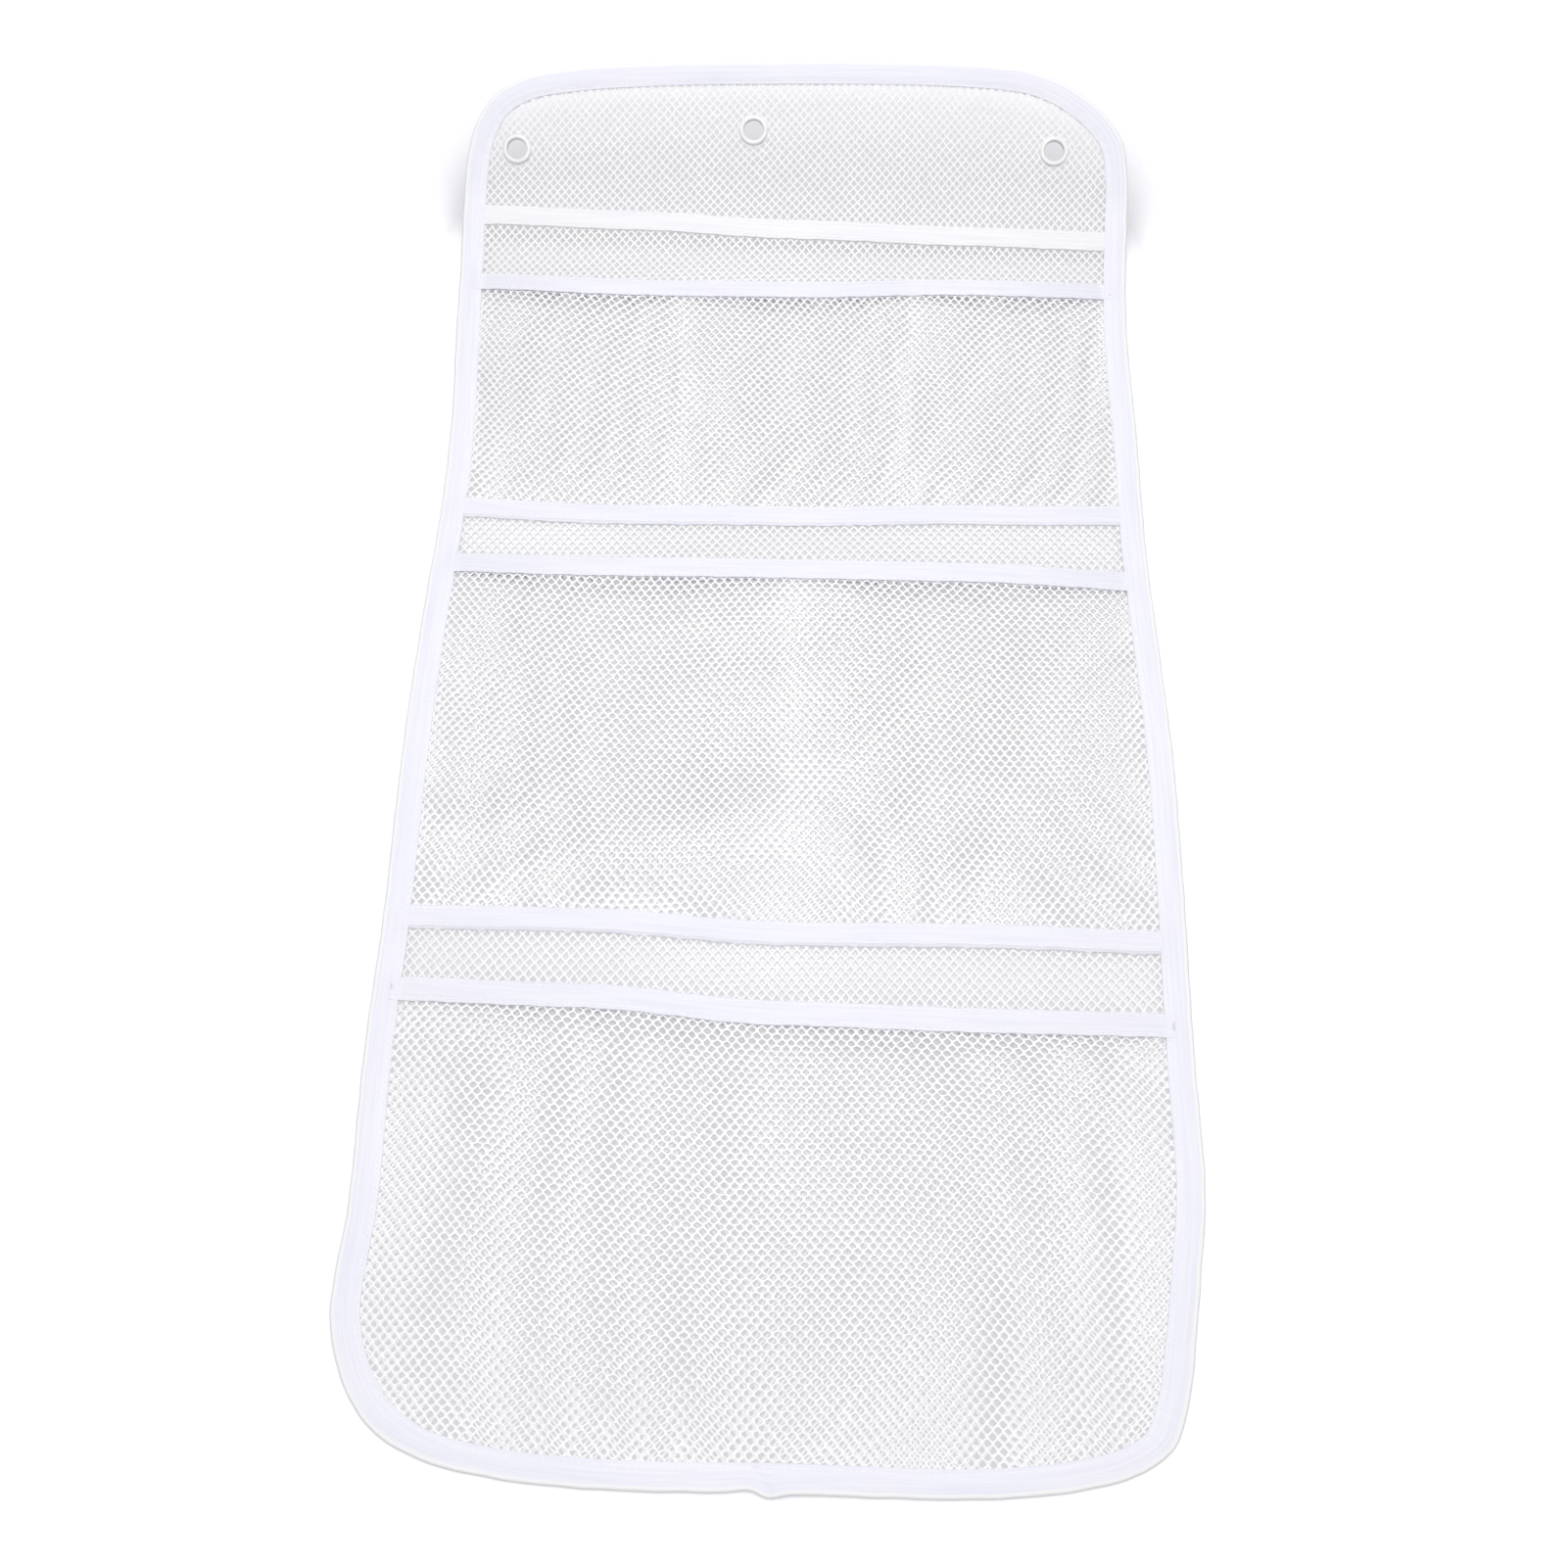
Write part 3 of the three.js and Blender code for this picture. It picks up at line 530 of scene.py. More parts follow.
def depth_in_cloth(x, s):
    """How far inside the outline each cloth point lies, from the nearest outline point."""
    points = np.stack([np.ravel(x), np.ravel(s)], axis=1)
    edge, inward = OUTLINE[::COARSE_STEP], INWARD[::COARSE_STEP]
    depth = []
    for start in range(0, len(points), DEPTH_BLOCK):
        block = points[start:start + DEPTH_BLOCK]
        away = block[:, None] - edge[None]
        nearest = np.argmin((away**2).sum(axis=2), axis=1)
        depth.append(np.sum((block - edge[nearest]) * inward[nearest], axis=1))
    return np.concatenate(depth).reshape(np.shape(x))


def pocket_level(row):
    """A pocket's net, held low between the binding's legs and free inside them."""
    def level(x, s):
        free = smoothstep(depth_in_cloth(x, s), BINDING_WIDTH, BINDING_WIDTH + HOLD_RUN)
        return HELD_NET_LEVEL + (POCKET_NET_LEVEL - HELD_NET_LEVEL + row.lift_at(x, s)) * free
    return level


def pocket_keep(row, net_edge):
    """A pocket's net runs from under its base tape into the fold of its mouth tape."""
    def keep(x, s):
        low = row.base_line(x) - HALF_TAPE + NET_TUCK
        high = row.rim_line(x) + HALF_TAPE - 2 * TAPE_THICKNESS - NET_TUCK
        return (s > low) & (s < high) & inside(x, s, net_edge)
    return keep


# Sewn tape

# The gathers' waves: size, length as a share, how the seed turns it, and its wander
PUCKER_LENGTH = 8.5
PUCKER_WANDER = 23
PUCKER_WAVES = [(0.5, 1.0, 1.0, 1.3), (0.3, 0.61, 2.1, 0.0), (0.2, 2.7, 0.4, 0.0)]
GROOVE_WIDTH = 0.7
GROOVE_DEPTH = 0.16


def puckers(at, seed):
    """Small irregular gathers along a sewn tape, about -1 to 1."""
    total = 0.0
    for size, length, turn, wander in PUCKER_WAVES:
        angle = 2 * np.pi * at / (PUCKER_LENGTH * length) + turn * seed
        total = total + size * np.sin(angle + wander * np.sin(at / PUCKER_WANDER + seed))
    return total


def groove(distance):
    """The dip that a row of stitches pulls into a tape."""
    return -GROOVE_DEPTH * bell(distance, GROOVE_WIDTH)


# Binding

BINDING_STITCH_INSET = BINDING_WIDTH - 1.9
BINDING_DIP = 0.8
BINDING_DOME = 0.22
BINDING_GATHER = 0.07
CORNER_GATHER = 0.26
EDGE_GATHER_SHARE = 0.35

# Lines along the binding: its face from the inner edge out, and its rear leg
FACE_STEPS = [0.0, 0.35, 0.8, 1.3, 1.9, 2.5, 3.1, 4.0, 5.2, 6.6, 8.0, 9.4, 10.7]
FOLD_LINES = 8
UNDER_LEG_SHORT = 0.7
UNDER_INSETS = [3.0, 6.0, 9.0, BINDING_WIDTH - UNDER_LEG_SHORT]

# The outer edge's waver, which fades towards the inner edge
WAVER = 0.18
CORNER_WAVER = 0.1
WAVER_END_SHARE = 1.3
WAVER_FADE = 9.0
TIGHT_RADIUS = 35
TURN_SPREAD = 15

# The lumps over the cross tapes' ends
HEADER_LUMP = 0.5
RIM_LUMP = 1.5
BASE_LUMP = 1.2
LUMP_HALF = 7.5

# Where the binding's ends meet, on the bottom edge
JOIN_X = -9.0
JOIN_SLANT = 0.9
JOIN_STEP = 0.5
JOIN_REACH = 26.0
JOIN_EDGE_RUN = 6.0
JOIN_EDGE_REACH = 60.0
JOIN_BULGE = 1.7
JOIN_BULGE_X = JOIN_X + 8.0
JOIN_BULGE_HALF = 5.5
JOIN_RISE = 0.9
JOIN_RISE_X = JOIN_X - 1.0
JOIN_RISE_HALF = 6.0
BOTTOM_DRAW = 1.2
BOTTOM_DRAW_RUN = (8.0, 25.0)


def outline_turn():
    """How tightly the outline bends at each point, from 0 to about 1."""
    cross = np.cross(INWARD, np.roll(INWARD, -1, axis=0))
    bend = np.abs(cross) / (PERIMETER / OUTLINE_POINTS) * TIGHT_RADIUS
    padded = np.concatenate([bend[-TURN_SPREAD:], bend, bend[:TURN_SPREAD]])
    kernel = np.hanning(2 * TURN_SPREAD + 1)
    return np.clip(np.convolve(padded, kernel / kernel.sum(), "valid"), 0, 1)


def tape_ends():
    """Where cross tapes run under the binding: the outline's own gentle lumps."""
    lump = np.zeros(OUTLINE_POINTS)
    for line, rise in ((HEADER, HEADER_LUMP), (UPPER_RIM, RIM_LUMP), (UPPER_BASE, BASE_LUMP),
                       (MIDDLE_RIM, RIM_LUMP), (MIDDLE_BASE, BASE_LUMP), (LOWER_RIM, RIM_LUMP)):
        away = OUTLINE[:, 1] - tape_line(line, OUTLINE[:, 0])
        lump = np.maximum(lump, rise * np.exp(-((away / LUMP_HALF) ** 4)))
    return lump


TURN = outline_turn()
LUMP = tape_ends()


def binding_edge():
    """The binding's outer edge wavers a little, and bulges where its ends meet."""
    waver = WAVER * puckers(OUTLINE_AT / 3, 0.6) + CORNER_WAVER * TURN * puckers(OUTLINE_AT, 1.7)
    x, s = OUTLINE.T
    bulge = JOIN_BULGE * bell(x - JOIN_BULGE_X, JOIN_BULGE_HALF)
    fading = np.clip(1 - (x - JOIN_X) / JOIN_EDGE_REACH, 0, 1)
    bulge += JOIN_STEP * smoothstep(x, JOIN_X, JOIN_X + JOIN_EDGE_RUN) * fading
    bulge -= JOIN_RISE * bell(x - JOIN_RISE_X, JOIN_RISE_HALF)
    near, far = BOTTOM_DRAW_RUN
    drawn_in = BOTTOM_DRAW * smoothstep(-s, -far, -near)
    return waver + drawn_in - np.where(s < BINDING_WIDTH, bulge, 0.0)


EDGE_WAVER = binding_edge()


def binding_over(inset):
    """Height of the binding's upper leg's middle line, for each outline point."""
    share = inset / BINDING_WIDTH
    dome = BINDING_DOME * np.sin(np.pi * share) - BINDING_DIP * share**2
    gather = (BINDING_GATHER + CORNER_GATHER * TURN) * puckers(OUTLINE_AT, 0.2)
    gather *= EDGE_GATHER_SHARE + (1 - EDGE_GATHER_SHARE) * share
    join = OUTLINE[:, 0] - JOIN_X - JOIN_SLANT * (BINDING_WIDTH - inset)
    step = smoothstep(join, 0.0, 1.0) * np.clip(1 - join / JOIN_REACH, 0, 1)
    step = np.where(OUTLINE[:, 1] < BINDING_WIDTH, step, 0.0) * JOIN_STEP
    return (BINDING_OVER_LEVEL + dome + gather + LUMP * share**2
            + groove(inset - BINDING_STITCH_INSET) + step)


def binding():
    """The folded tape: its face, the fold round the cloth's edge, and its rear leg."""
    fold = (BINDING_OVER_LEVEL - BINDING_UNDER_LEVEL) / 2
    insets = [BINDING_WIDTH - step for step in FACE_STEPS]
    heights = [binding_over(inset) for inset in insets]
    top = heights[-1]
    middle = (top + BINDING_UNDER_LEVEL) / 2
    for turn in np.linspace(0, math.pi, FOLD_LINES)[1:-1]:
        insets.append(fold - fold * math.sin(turn))
        heights.append(middle + (top - middle) * math.cos(turn))
    insets += [fold, *UNDER_INSETS]
    heights += [np.full(OUTLINE_POINTS, BINDING_UNDER_LEVEL)] * (1 + len(UNDER_INSETS))
    heights = np.stack(heights, axis=1)
    section = thicken(np.broadcast_to(insets, heights.shape), heights, TAPE_THICKNESS)
    fading = np.clip(WAVER_END_SHARE - section[..., 0] / WAVER_FADE, 0, 1)
    across = section[..., 0] + EDGE_WAVER[:, None] * fading
    x = OUTLINE[:, :1] + INWARD[:, :1] * across
    s = OUTLINE[:, 1:] + INWARD[:, 1:] * across
    along = np.append(OUTLINE_AT, PERIMETER)
    return sweep("folded_edge_binding", place(x, s, section[..., 1])[:, ::-1],
                 (along, section_lengths(section[0, ::-1])), True)


# Cross tapes

TAPE_STEP = 1.6
TAPE_TUCK = 4.0
TAPE_STITCH_OFFSET = HALF_TAPE - 1.5
TAPE_CROWN = 0.16
TAPE_GATHER = 0.09
MIDDLE_GATHER_SHARE = 0.4
SLOW_WANDER = 0.22
FINE_WANDER = 0.12
FOLDED_WIDTHS = 2.1
DROOP_SHARE = 0.68
BASE_DROOP = 0.95

# Lines along a tape, from its middle: its face, a flat one's edge, a folded one's rear leg
FACE_LINES = HALF_TAPE * np.array([-1, -0.93, -0.85, -0.78, -0.72, -0.66, -0.58, -0.4, -0.15,
                                   0.15, 0.4, 0.58, 0.66, 0.72, 0.78, 0.85])
EDGE_LINES = HALF_TAPE * np.array([0.93, 1.0])
REAR_LINES = HALF_TAPE * np.array([0.4, -0.1, -0.6, -1])
RIM_FOLD_LINES = 7


def tape_stations(height):
    """Evenly spaced places across the cloth, tucked under the binding at both ends."""
    start = float(side_x(height, -1)) - TAPE_TUCK
    end = float(side_x(height, 1)) + TAPE_TUCK
    return np.linspace(start, end, int((end - start) / TAPE_STEP))


def tape_grooves(across):
    return groove(across - TAPE_STITCH_OFFSET) + groove(across + TAPE_STITCH_OFFSET)


def tape_surface(x, across, level, droop, seed):
    """Height of a tape's upper face's middle line above the cloth under it."""
    share = across / HALF_TAPE
    crown = TAPE_CROWN * (1 - share**2)
    loose = MIDDLE_GATHER_SHARE + (1 - MIDDLE_GATHER_SHARE) * share**2
    gather = TAPE_GATHER * puckers(x, seed) * loose
    hang = droop * smoothstep(-share, DROOP_SHARE, 1.0)
    return level + crown + gather + tape_grooves(across) - hang


def edge_wander(x, seed):
    """How far a tape's edges stray from straight."""
    return SLOW_WANDER * puckers(x / 2.6, seed) + FINE_WANDER * puckers(x, seed + 1)


class Tape:
    """A cross tape: the line that it follows, its level, and the lift under it."""

    def __init__(self, seed, name, line, height, level, lift=None, folded=False, droop=0.0):
        self.seed = seed
        self.name = name
        self.line = line
        self.level = level
        self.lift = lift or (lambda x: 0.0)
        self.folded = folded
        self.droop = droop
        self.x = tape_stations(height)

    def over(self, x, across):
        return tape_surface(x, across, self.level, self.droop, self.seed) + self.lift(x)

    def build(self):
        x = self.x[:, None]
        if self.folded:
            radius = (RIM_OVER_LEVEL - RIM_UNDER_LEVEL) / 2
            turns = np.linspace(0, math.pi, RIM_FOLD_LINES)
            top = self.over(x, HALF_TAPE - radius)
            bottom = RIM_UNDER_LEVEL + self.lift(x)
            fold = HALF_TAPE - radius + radius * np.sin(turns)
            fold_heights = (top + bottom) / 2 + (top - bottom) / 2 * np.cos(turns)
            across = np.concatenate([FACE_LINES, fold, REAR_LINES])
            rear_heights = np.repeat(bottom, len(REAR_LINES), axis=1)
            heights = np.hstack([self.over(x, FACE_LINES), fold_heights, rear_heights])
        else:
            across = np.append(FACE_LINES, EDGE_LINES)
            heights = self.over(x, across)
        across = np.broadcast_to(across, heights.shape)
        section = thicken(across, heights, TAPE_THICKNESS)
        s = self.line(x) + section[..., 0] + edge_wander(x, self.seed) * np.sign(section[..., 0])
        points = place(np.broadcast_to(x, s.shape), s, section[..., 1])
        along = np.append(self.x - self.x[0], self.x[-1] - self.x[0])
        return sweep(self.name, points, (along, section_lengths(section[0])), False)

    def flat_size(self):
        width = TAPE_WIDTH * (FOLDED_WIDTHS if self.folded else 1.0)
        return width * MM, float(self.x[-1] - self.x[0]) * MM


# Thread rows

STITCH_PITCH = 2.8
STITCH_GAP = 0.45
STITCH_RADIUS = 0.19
STITCH_SIDES = 6

# A stitch's rings: their places along it, their heights and their thickness
STITCH_SHARES = np.array([0.0, 0.12, 0.35, 0.65, 0.88, 1.0])
STITCH_HEIGHTS = np.array([-0.16, 0.02, 0.1, 0.1, 0.02, -0.16])
STITCH_ROUND = np.array([0.5, 0.85, 1.0, 1.0, 0.85, 0.5])


def stitches(name, x, s, t):
    """Separate stitches that lie along a line of cloth points and dip in at their ends."""
    line = place(x, s, t)
    up = place(x, s, t + 1) - line
    up /= np.linalg.norm(up, axis=1)[:, None]
    along = lengths_along(line) / MM
    count = int(along[-1] / STITCH_PITCH)
    starts = (np.arange(count) + 0.5) * (along[-1] / count) - STITCH_PITCH / 2
    at = starts[:, None] + STITCH_GAP / 2 + STITCH_SHARES * (STITCH_PITCH - STITCH_GAP)

    def read(values):
        return np.stack([np.interp(at, along, values[:, k]) for k in range(3)], axis=-1)

    centre, rise = read(line), read(up)
    tangent = np.gradient(centre, axis=1)
    tangent /= np.linalg.norm(tangent, axis=-1, keepdims=True)
    side = np.cross(tangent, rise)
    centre = centre + rise * (STITCH_HEIGHTS * MM)[None, :, None]
    angle = np.arange(STITCH_SIDES) * 2 * np.pi / STITCH_SIDES
    radius = (STITCH_RADIUS * MM * STITCH_ROUND)[None, :, None, None]
    ring = (side[:, :, None] * np.cos(angle)[:, None] + rise[:, :, None] * np.sin(angle)[:, None])
    points = centre[:, :, None] + ring * radius
    rings = len(STITCH_SHARES)
    r, k = np.meshgrid(np.arange(rings - 1), np.arange(STITCH_SIDES), indexing="ij")
    r, k = r.ravel(), k.ravel()
    k2 = (k + 1) % STITCH_SIDES
    one = np.stack([r, r + 1, r + 1, r], axis=1) * STITCH_SIDES + np.stack([k, k, k2, k2], axis=1)
    last = (rings - 1) * STITCH_SIDES
    caps = np.array([[0, 1, 2, 3], [0, 3, 4, 5],
                     [last + 3, last + 2, last + 1, last], [last + 5, last + 4, last + 3, last]])
    one = np.vstack([one, caps])
    each = rings * STITCH_SIDES
    faces = (one[None] + np.arange(count)[:, None, None] * each).reshape(-1, 4)
    return make_piece(name, points, [faces])


def tape_stitches(name, tape, side):
    visible = (tape.x > tape.x[0] + TAPE_TUCK - 1) & (tape.x < tape.x[-1] - TAPE_TUCK + 1)
    x = tape.x[visible]
    across = np.full(len(x), side * TAPE_STITCH_OFFSET)
    s = tape.line(x) + across + edge_wander(x, tape.seed) * side
    t = tape.over(x, across) + TAPE_THICKNESS / 2
    return stitches(name, x, s, t)


def binding_stitches():
    ring = np.append(np.arange(OUTLINE_POINTS), 0)
    edge = inset_outline(BINDING_STITCH_INSET)[ring]
    t = binding_over(BINDING_STITCH_INSET)[ring] + TAPE_THICKNESS / 2
    return stitches("edge_binding_stitches", edge[:, 0], edge[:, 1], t)


def divider_stitches(name, row, index):
    start = row.base_height + HALF_TAPE - 1
    end = row.rim_height - HALF_TAPE + 1
    s = np.linspace(start, end, int(end - start))
    x = row.seam_x(index, s)
    t = POCKET_NET_LEVEL + CROWN + RIM_RAISE * smoothstep(s, end - MOUTH_RUN, end)
    return stitches(name, x, s, t)


# Grommets

LATHE_SIDES = 72
CORNER_STEPS = 5
BARREL_END = -0.7
FLANGE_UNDER = 1.4
FLANGE_SHOULDER = 2.3
FLANGE_TOP = 2.9
WASHER_TOP = 0.4


def rounded_profile(corners):
    """A closed profile of [radius, height, rounding] with its corners rounded."""
    points = []
    count = len(corners)
    for i, (radius, height, rounding) in enumerate(corners):
        here = np.array([radius, height])
        before = np.array(corners[i - 1][:2]) - here
        after = np.array(corners[(i + 1) % count][:2]) - here
        reach = min(rounding, np.linalg.norm(before) / 2, np.linalg.norm(after) / 2)
        start = here + before / np.linalg.norm(before) * reach
        end = here + after / np.linalg.norm(after) * reach
        for u in np.linspace(0, 1, CORNER_STEPS):
            points.append((1 - u) ** 2 * start + 2 * u * (1 - u) * here + u**2 * end)
    return np.array(points)


def turned(name, profile, centre):
    """A lathed ring, standing square to the curled cloth at a grommet's place."""
    gx, gs = centre
    base = place(gx, gs, 0.0)
    up = place(gx, gs, 1.0) - base
    up = up / np.linalg.norm(up)
    right = np.array([1.0, 0.0, 0.0])
    ahead = np.cross(up, right)
    angle = np.arange(LATHE_SIDES) * 2 * np.pi / LATHE_SIDES
    out = np.cos(angle)[:, None] * right + np.sin(angle)[:, None] * ahead
    points = base + (out[:, None] * profile[None, :, :1] + up * profile[None, :, 1:]) * MM
    count = len(profile)
    along = np.arange(LATHE_SIDES + 1) * 2 * np.pi * GROMMET_OUTER_RADIUS / LATHE_SIDES
    lengths = (along, np.arange(count + 1, dtype=float))
    return sweep(name, points[:, ::-1], lengths, True)


def grommet_profiles():
    """The eyelet with its barrel and flange, and the washer that grips the net behind."""
    inner, barrel, outer = GROMMET_BORE_RADIUS, GROMMET_BARREL_RADIUS, GROMMET_OUTER_RADIUS
    front = rounded_profile([
        (inner, BARREL_END, 0.15), (barrel, BARREL_END, 0.15), (barrel, FLANGE_UNDER, 0.05),
        (outer, FLANGE_UNDER, 0.25), (outer, FLANGE_SHOULDER, 0.7), (outer - 1.0, FLANGE_TOP, 0.4),
        (inner + 0.7, FLANGE_TOP, 0.4), (inner, FLANGE_SHOULDER, 0.5),
    ])
    back = rounded_profile([
        (barrel + 0.3, BARREL_END, 0.2), (outer - 0.5, BARREL_END, 0.4), (outer, -0.2, 0.3),
        (outer, WASHER_TOP, 0.1), (barrel + 0.3, WASHER_TOP, 0.1),
    ])
    return front, back


# Materials

# Each material's two near colours
# The nets are one yarn in two copies. The back net's is painted darker, as painted shade for where
# it lies under the pockets, and the pocket nets' is painted lighter.
BACK_YARN_PAINTED_SHADE = ((0.9, 0.898, 0.913), (0.918, 0.916, 0.926))
POCKET_YARN_PAINTED_LIGHT = ((0.965, 0.957, 0.985), (0.98, 0.972, 0.995))
CROSS_RIBBON = ((0.848, 0.856, 0.93), (0.877, 0.864, 0.937))
EDGE_RIBBON = ((0.86, 0.868, 0.945), (0.89, 0.877, 0.95))
HEADER_RIBBON = ((0.893, 0.893, 0.925), (0.908, 0.908, 0.918))
THREAD = ((0.91, 0.91, 0.94), (0.94, 0.94, 0.96))
MILKY_PLASTIC = ((0.93, 0.93, 0.935), (0.96, 0.96, 0.96))
TINT_STOPS = (0.35, 0.65)

# A ribbon's ribs, its satin streaks, and the painted highlight on the binding's fold, which also
# lightens the fold's shaded underside
RIBS = 1.6
WARP_RIBS = RIBS * 1.7
STREAKS = ((0.945, 0.945, 0.965), (1, 1, 1))
STREAK_STOPS = (0.35, 0.62)
FOLD_HIGHLIGHT_WIDTH = 1.9
FOLD_HIGHLIGHT_BLEND = 0.9
FOLD_HIGHLIGHT = (0.945, 0.943, 0.955, 1.0)


def new_material(name):
    material = bpy.data.materials.new(name)
    material.use_nodes = True
    return material, material.node_tree, material.node_tree.nodes["Principled BSDF"]


def feed(tree, node, **values):
    """Links outputs into a node's inputs, or sets them to plain values. Names are given
    with _ for a space."""
    for name, value in values.items():
        socket = node.inputs[name.replace("_", " ")]
        if isinstance(value, bpy.types.NodeSocket):
            tree.links.new(value, socket)
        else:
            socket.default_value = value
    return node


def add(tree, kind, **values):
    return feed(tree, tree.nodes.new("ShaderNode" + kind), **values)


def arithmetic(tree, operation, *values):
    node = tree.nodes.new("ShaderNodeMath")
    node.operation = operation
    for socket, value in zip(node.inputs, values):
        if isinstance(value, float):
            socket.default_value = value
        else:
            tree.links.new(value, socket)
    return node.outputs["Value"]


def mix(tree, factor, first, second, blend="MIX"):
    node = tree.nodes.new("ShaderNodeMix")
    node.data_type = "RGBA"
    node.blend_type = blend
    return feed(tree, node, Factor=factor, A=first, B=second).outputs["Result"]


def ramp(tree, value, stops, colours):
    """The colour of a value, between colours that stand at the stops."""
    node = add(tree, "ValToRGB", Fac=value)
    for stop in stops[1:-1]:
        node.color_ramp.elements.new(stop)
    for element, stop, colour in zip(node.color_ramp.elements, stops, colours):
        element.position = stop
        element.color = (*colour, 1)
    return node.outputs["Color"]


def texture(tree, kind, scale, **values):
    """A texture in the piece's own space, in repeats a metre."""
    places = tree.nodes.new("ShaderNodeTexCoord").outputs["Object"]
    return add(tree, kind, Vector=places, Scale=scale, **values)


def tint(tree, colours, scale):
    """A colour that drifts between two near colours in soft patches."""
    return ramp(tree, texture(tree, "TexNoise", scale).outputs["Fac"], TINT_STOPS, colours)


def relief(tree, height, strength, depth):
    """Fine relief from a texture's value, with its depth in millimetres."""
    return add(tree, "Bump", Height=height, Strength=strength, Distance=depth * MM).outputs["Normal"]


def net_material(name, colours):
    """Knitted polyester: matt, with the fine twist of its yarn."""
    material, tree, shader = new_material(name)
    yarn = texture(tree, "TexNoise", 1900.0, Detail=3.0)
    feed(tree, shader, Base_Color=tint(tree, colours, 24.0), Roughness=0.82,
         Specular_IOR_Level=0.25, Sheen_Weight=0.1,
         Normal=relief(tree, yarn.outputs["Fac"], 0.35, 0.1))
    return material


def woven_material(name, colours, highlight_from=None):
    """Ribbed ribbon: fine ribs across it and finer warp along it, from the weave's uvs.
    highlight_from is how far round its section the fold's painted highlight begins."""
    material, tree, shader = new_material(name)
    weave = tree.nodes.new("ShaderNodeUVMap")
    weave.uv_map = "cloth"
    uv = weave.outputs["UV"]
    stretch = add(tree, "Mapping", Vector=uv, Scale=(0.02, 0.75, 1.0))
    streaks = add(tree, "TexNoise", Vector=stretch.outputs["Vector"], Scale=1.0, Detail=4.0)
    satin = ramp(tree, streaks.outputs["Fac"], STREAK_STOPS, STREAKS)
    colour = mix(tree, 1.0, tint(tree, colours, 17.0), satin, "MULTIPLY")
    # The fold round the cloth's edge is painted paler: a painted highlight that also lightens its
    # shaded underside.
    if highlight_from is not None:
        split = add(tree, "SeparateXYZ", Vector=uv)
        reach = add(tree, "MapRange", Value=split.outputs["Y"], From_Min=highlight_from,
                    From_Max=highlight_from + FOLD_HIGHLIGHT_BLEND)
        colour = mix(tree, reach.outputs["Result"], colour, FOLD_HIGHLIGHT)
    across = add(tree, "TexWave", Vector=uv, Scale=RIBS, Distortion=0.6, Detail=1.0)
    across.bands_direction = "X"
    along = add(tree, "TexWave", Vector=uv, Scale=WARP_RIBS, Distortion=0.4)
    along.bands_direction = "Y"
    both = arithmetic(tree, "ADD", across.outputs["Fac"], along.outputs["Fac"])
    feed(tree, shader, Base_Color=colour, Roughness=0.62, Specular_IOR_Level=0.3,
         Sheen_Weight=0.15, Normal=relief(tree, both, 0.3, 0.08))
    return material


def thread_material():
    """Bright twisted thread."""
    material, tree, shader = new_material("sewing_thread")
    twist = texture(tree, "TexWave", 1500.0)
    twist.bands_direction = "DIAGONAL"
    feed(tree, shader, Base_Color=tint(tree, THREAD, 300.0), Roughness=0.5,
         Normal=relief(tree, twist.outputs["Fac"], 0.4, 0.05))
    return material


def plastic_material():
    """Milky, slightly clear moulded plastic."""
    material, tree, shader = new_material("milky_plastic")
    mould = texture(tree, "TexNoise", 700.0)
    feed(tree, shader, Base_Color=tint(tree, MILKY_PLASTIC, 160.0), Roughness=0.28, IOR=1.49,
         Transmission_Weight=0.12, Normal=relief(tree, mould.outputs["Fac"], 0.12, 0.05))
    return material


# Pieces

# A shaded and a lit copy of the one yarn: painted shade on the back net, painted light on the pocket
# nets.
shaded_back_cloth = net_material("back_net_yarn_painted_shade", BACK_YARN_PAINTED_SHADE)
lit_pocket_cloth = net_material("pocket_net_yarn_painted_light", POCKET_YARN_PAINTED_LIGHT)
ribbon = woven_material("ribbed_ribbon", CROSS_RIBBON)
# The binding's ribbon carries the painted highlight on its fold.
binding_ribbon = woven_material("binding_ribbon", EDGE_RIBBON, BINDING_WIDTH - FOLD_HIGHLIGHT_WIDTH)
header_ribbon = woven_material("header_ribbon", HEADER_RIBBON)
thread = thread_material()
plastic = plastic_material()


def build_nets():
    net_edge = inset_outline(NET_HOLD)[::COARSE_STEP]

    def back_keep(x, s):
        kept = inside(x, s, net_edge)
        for gx, gs in GROMMET_PLACES.values():
            kept &= np.hypot(x - gx, s - gs) > GROMMET_BARREL_RADIUS + BARREL_CLEARANCE
        return kept

    back = net("back_net", BACK_CELL, BACK_START, back_warp, back_keep,
               lambda x, s: BACK_NET_LEVEL)
    dress(back, shaded_back_cloth, "net", "back_panel")
    for word, row in ROWS.items():
        piece = net(f"{word}_pocket_net", POCKET_CELLS[word], POCKET_START,
                    pocket_warp(POCKET_GRAINS[word]), pocket_keep(row, net_edge),
                    pocket_level(row), POCKET_KNOT)
        dress(piece, lit_pocket_cloth, "net", f"{word}_pocket_panel")


def build_binding():
    piece = binding()
    dress(piece, binding_ribbon, "tape", "edge_binding")
    rows = dress(binding_stitches(), thread, "thread", "edge_binding_stitch")


# A mouth tape lies lower where it runs under the binding
RIM_END_RAISE = 0.35
RIM_END_RUN = 9.0
SEED_STEP = 1.9


def rim_lift(row):
    """How a mouth tape lifts off the cloth with the pocket under it."""
    left = float(side_x(row.rim_height, -1))
    right = float(side_x(row.rim_height, 1))

    def lift(x):
        from_end = smoothstep(np.minimum(x - left, right - x), 0, RIM_END_RUN)
        raised = RIM_END_RAISE + (RIM_RAISE - RIM_END_RAISE) * from_end
        return row.arch(x, row.rim_height) + raised
    return lift


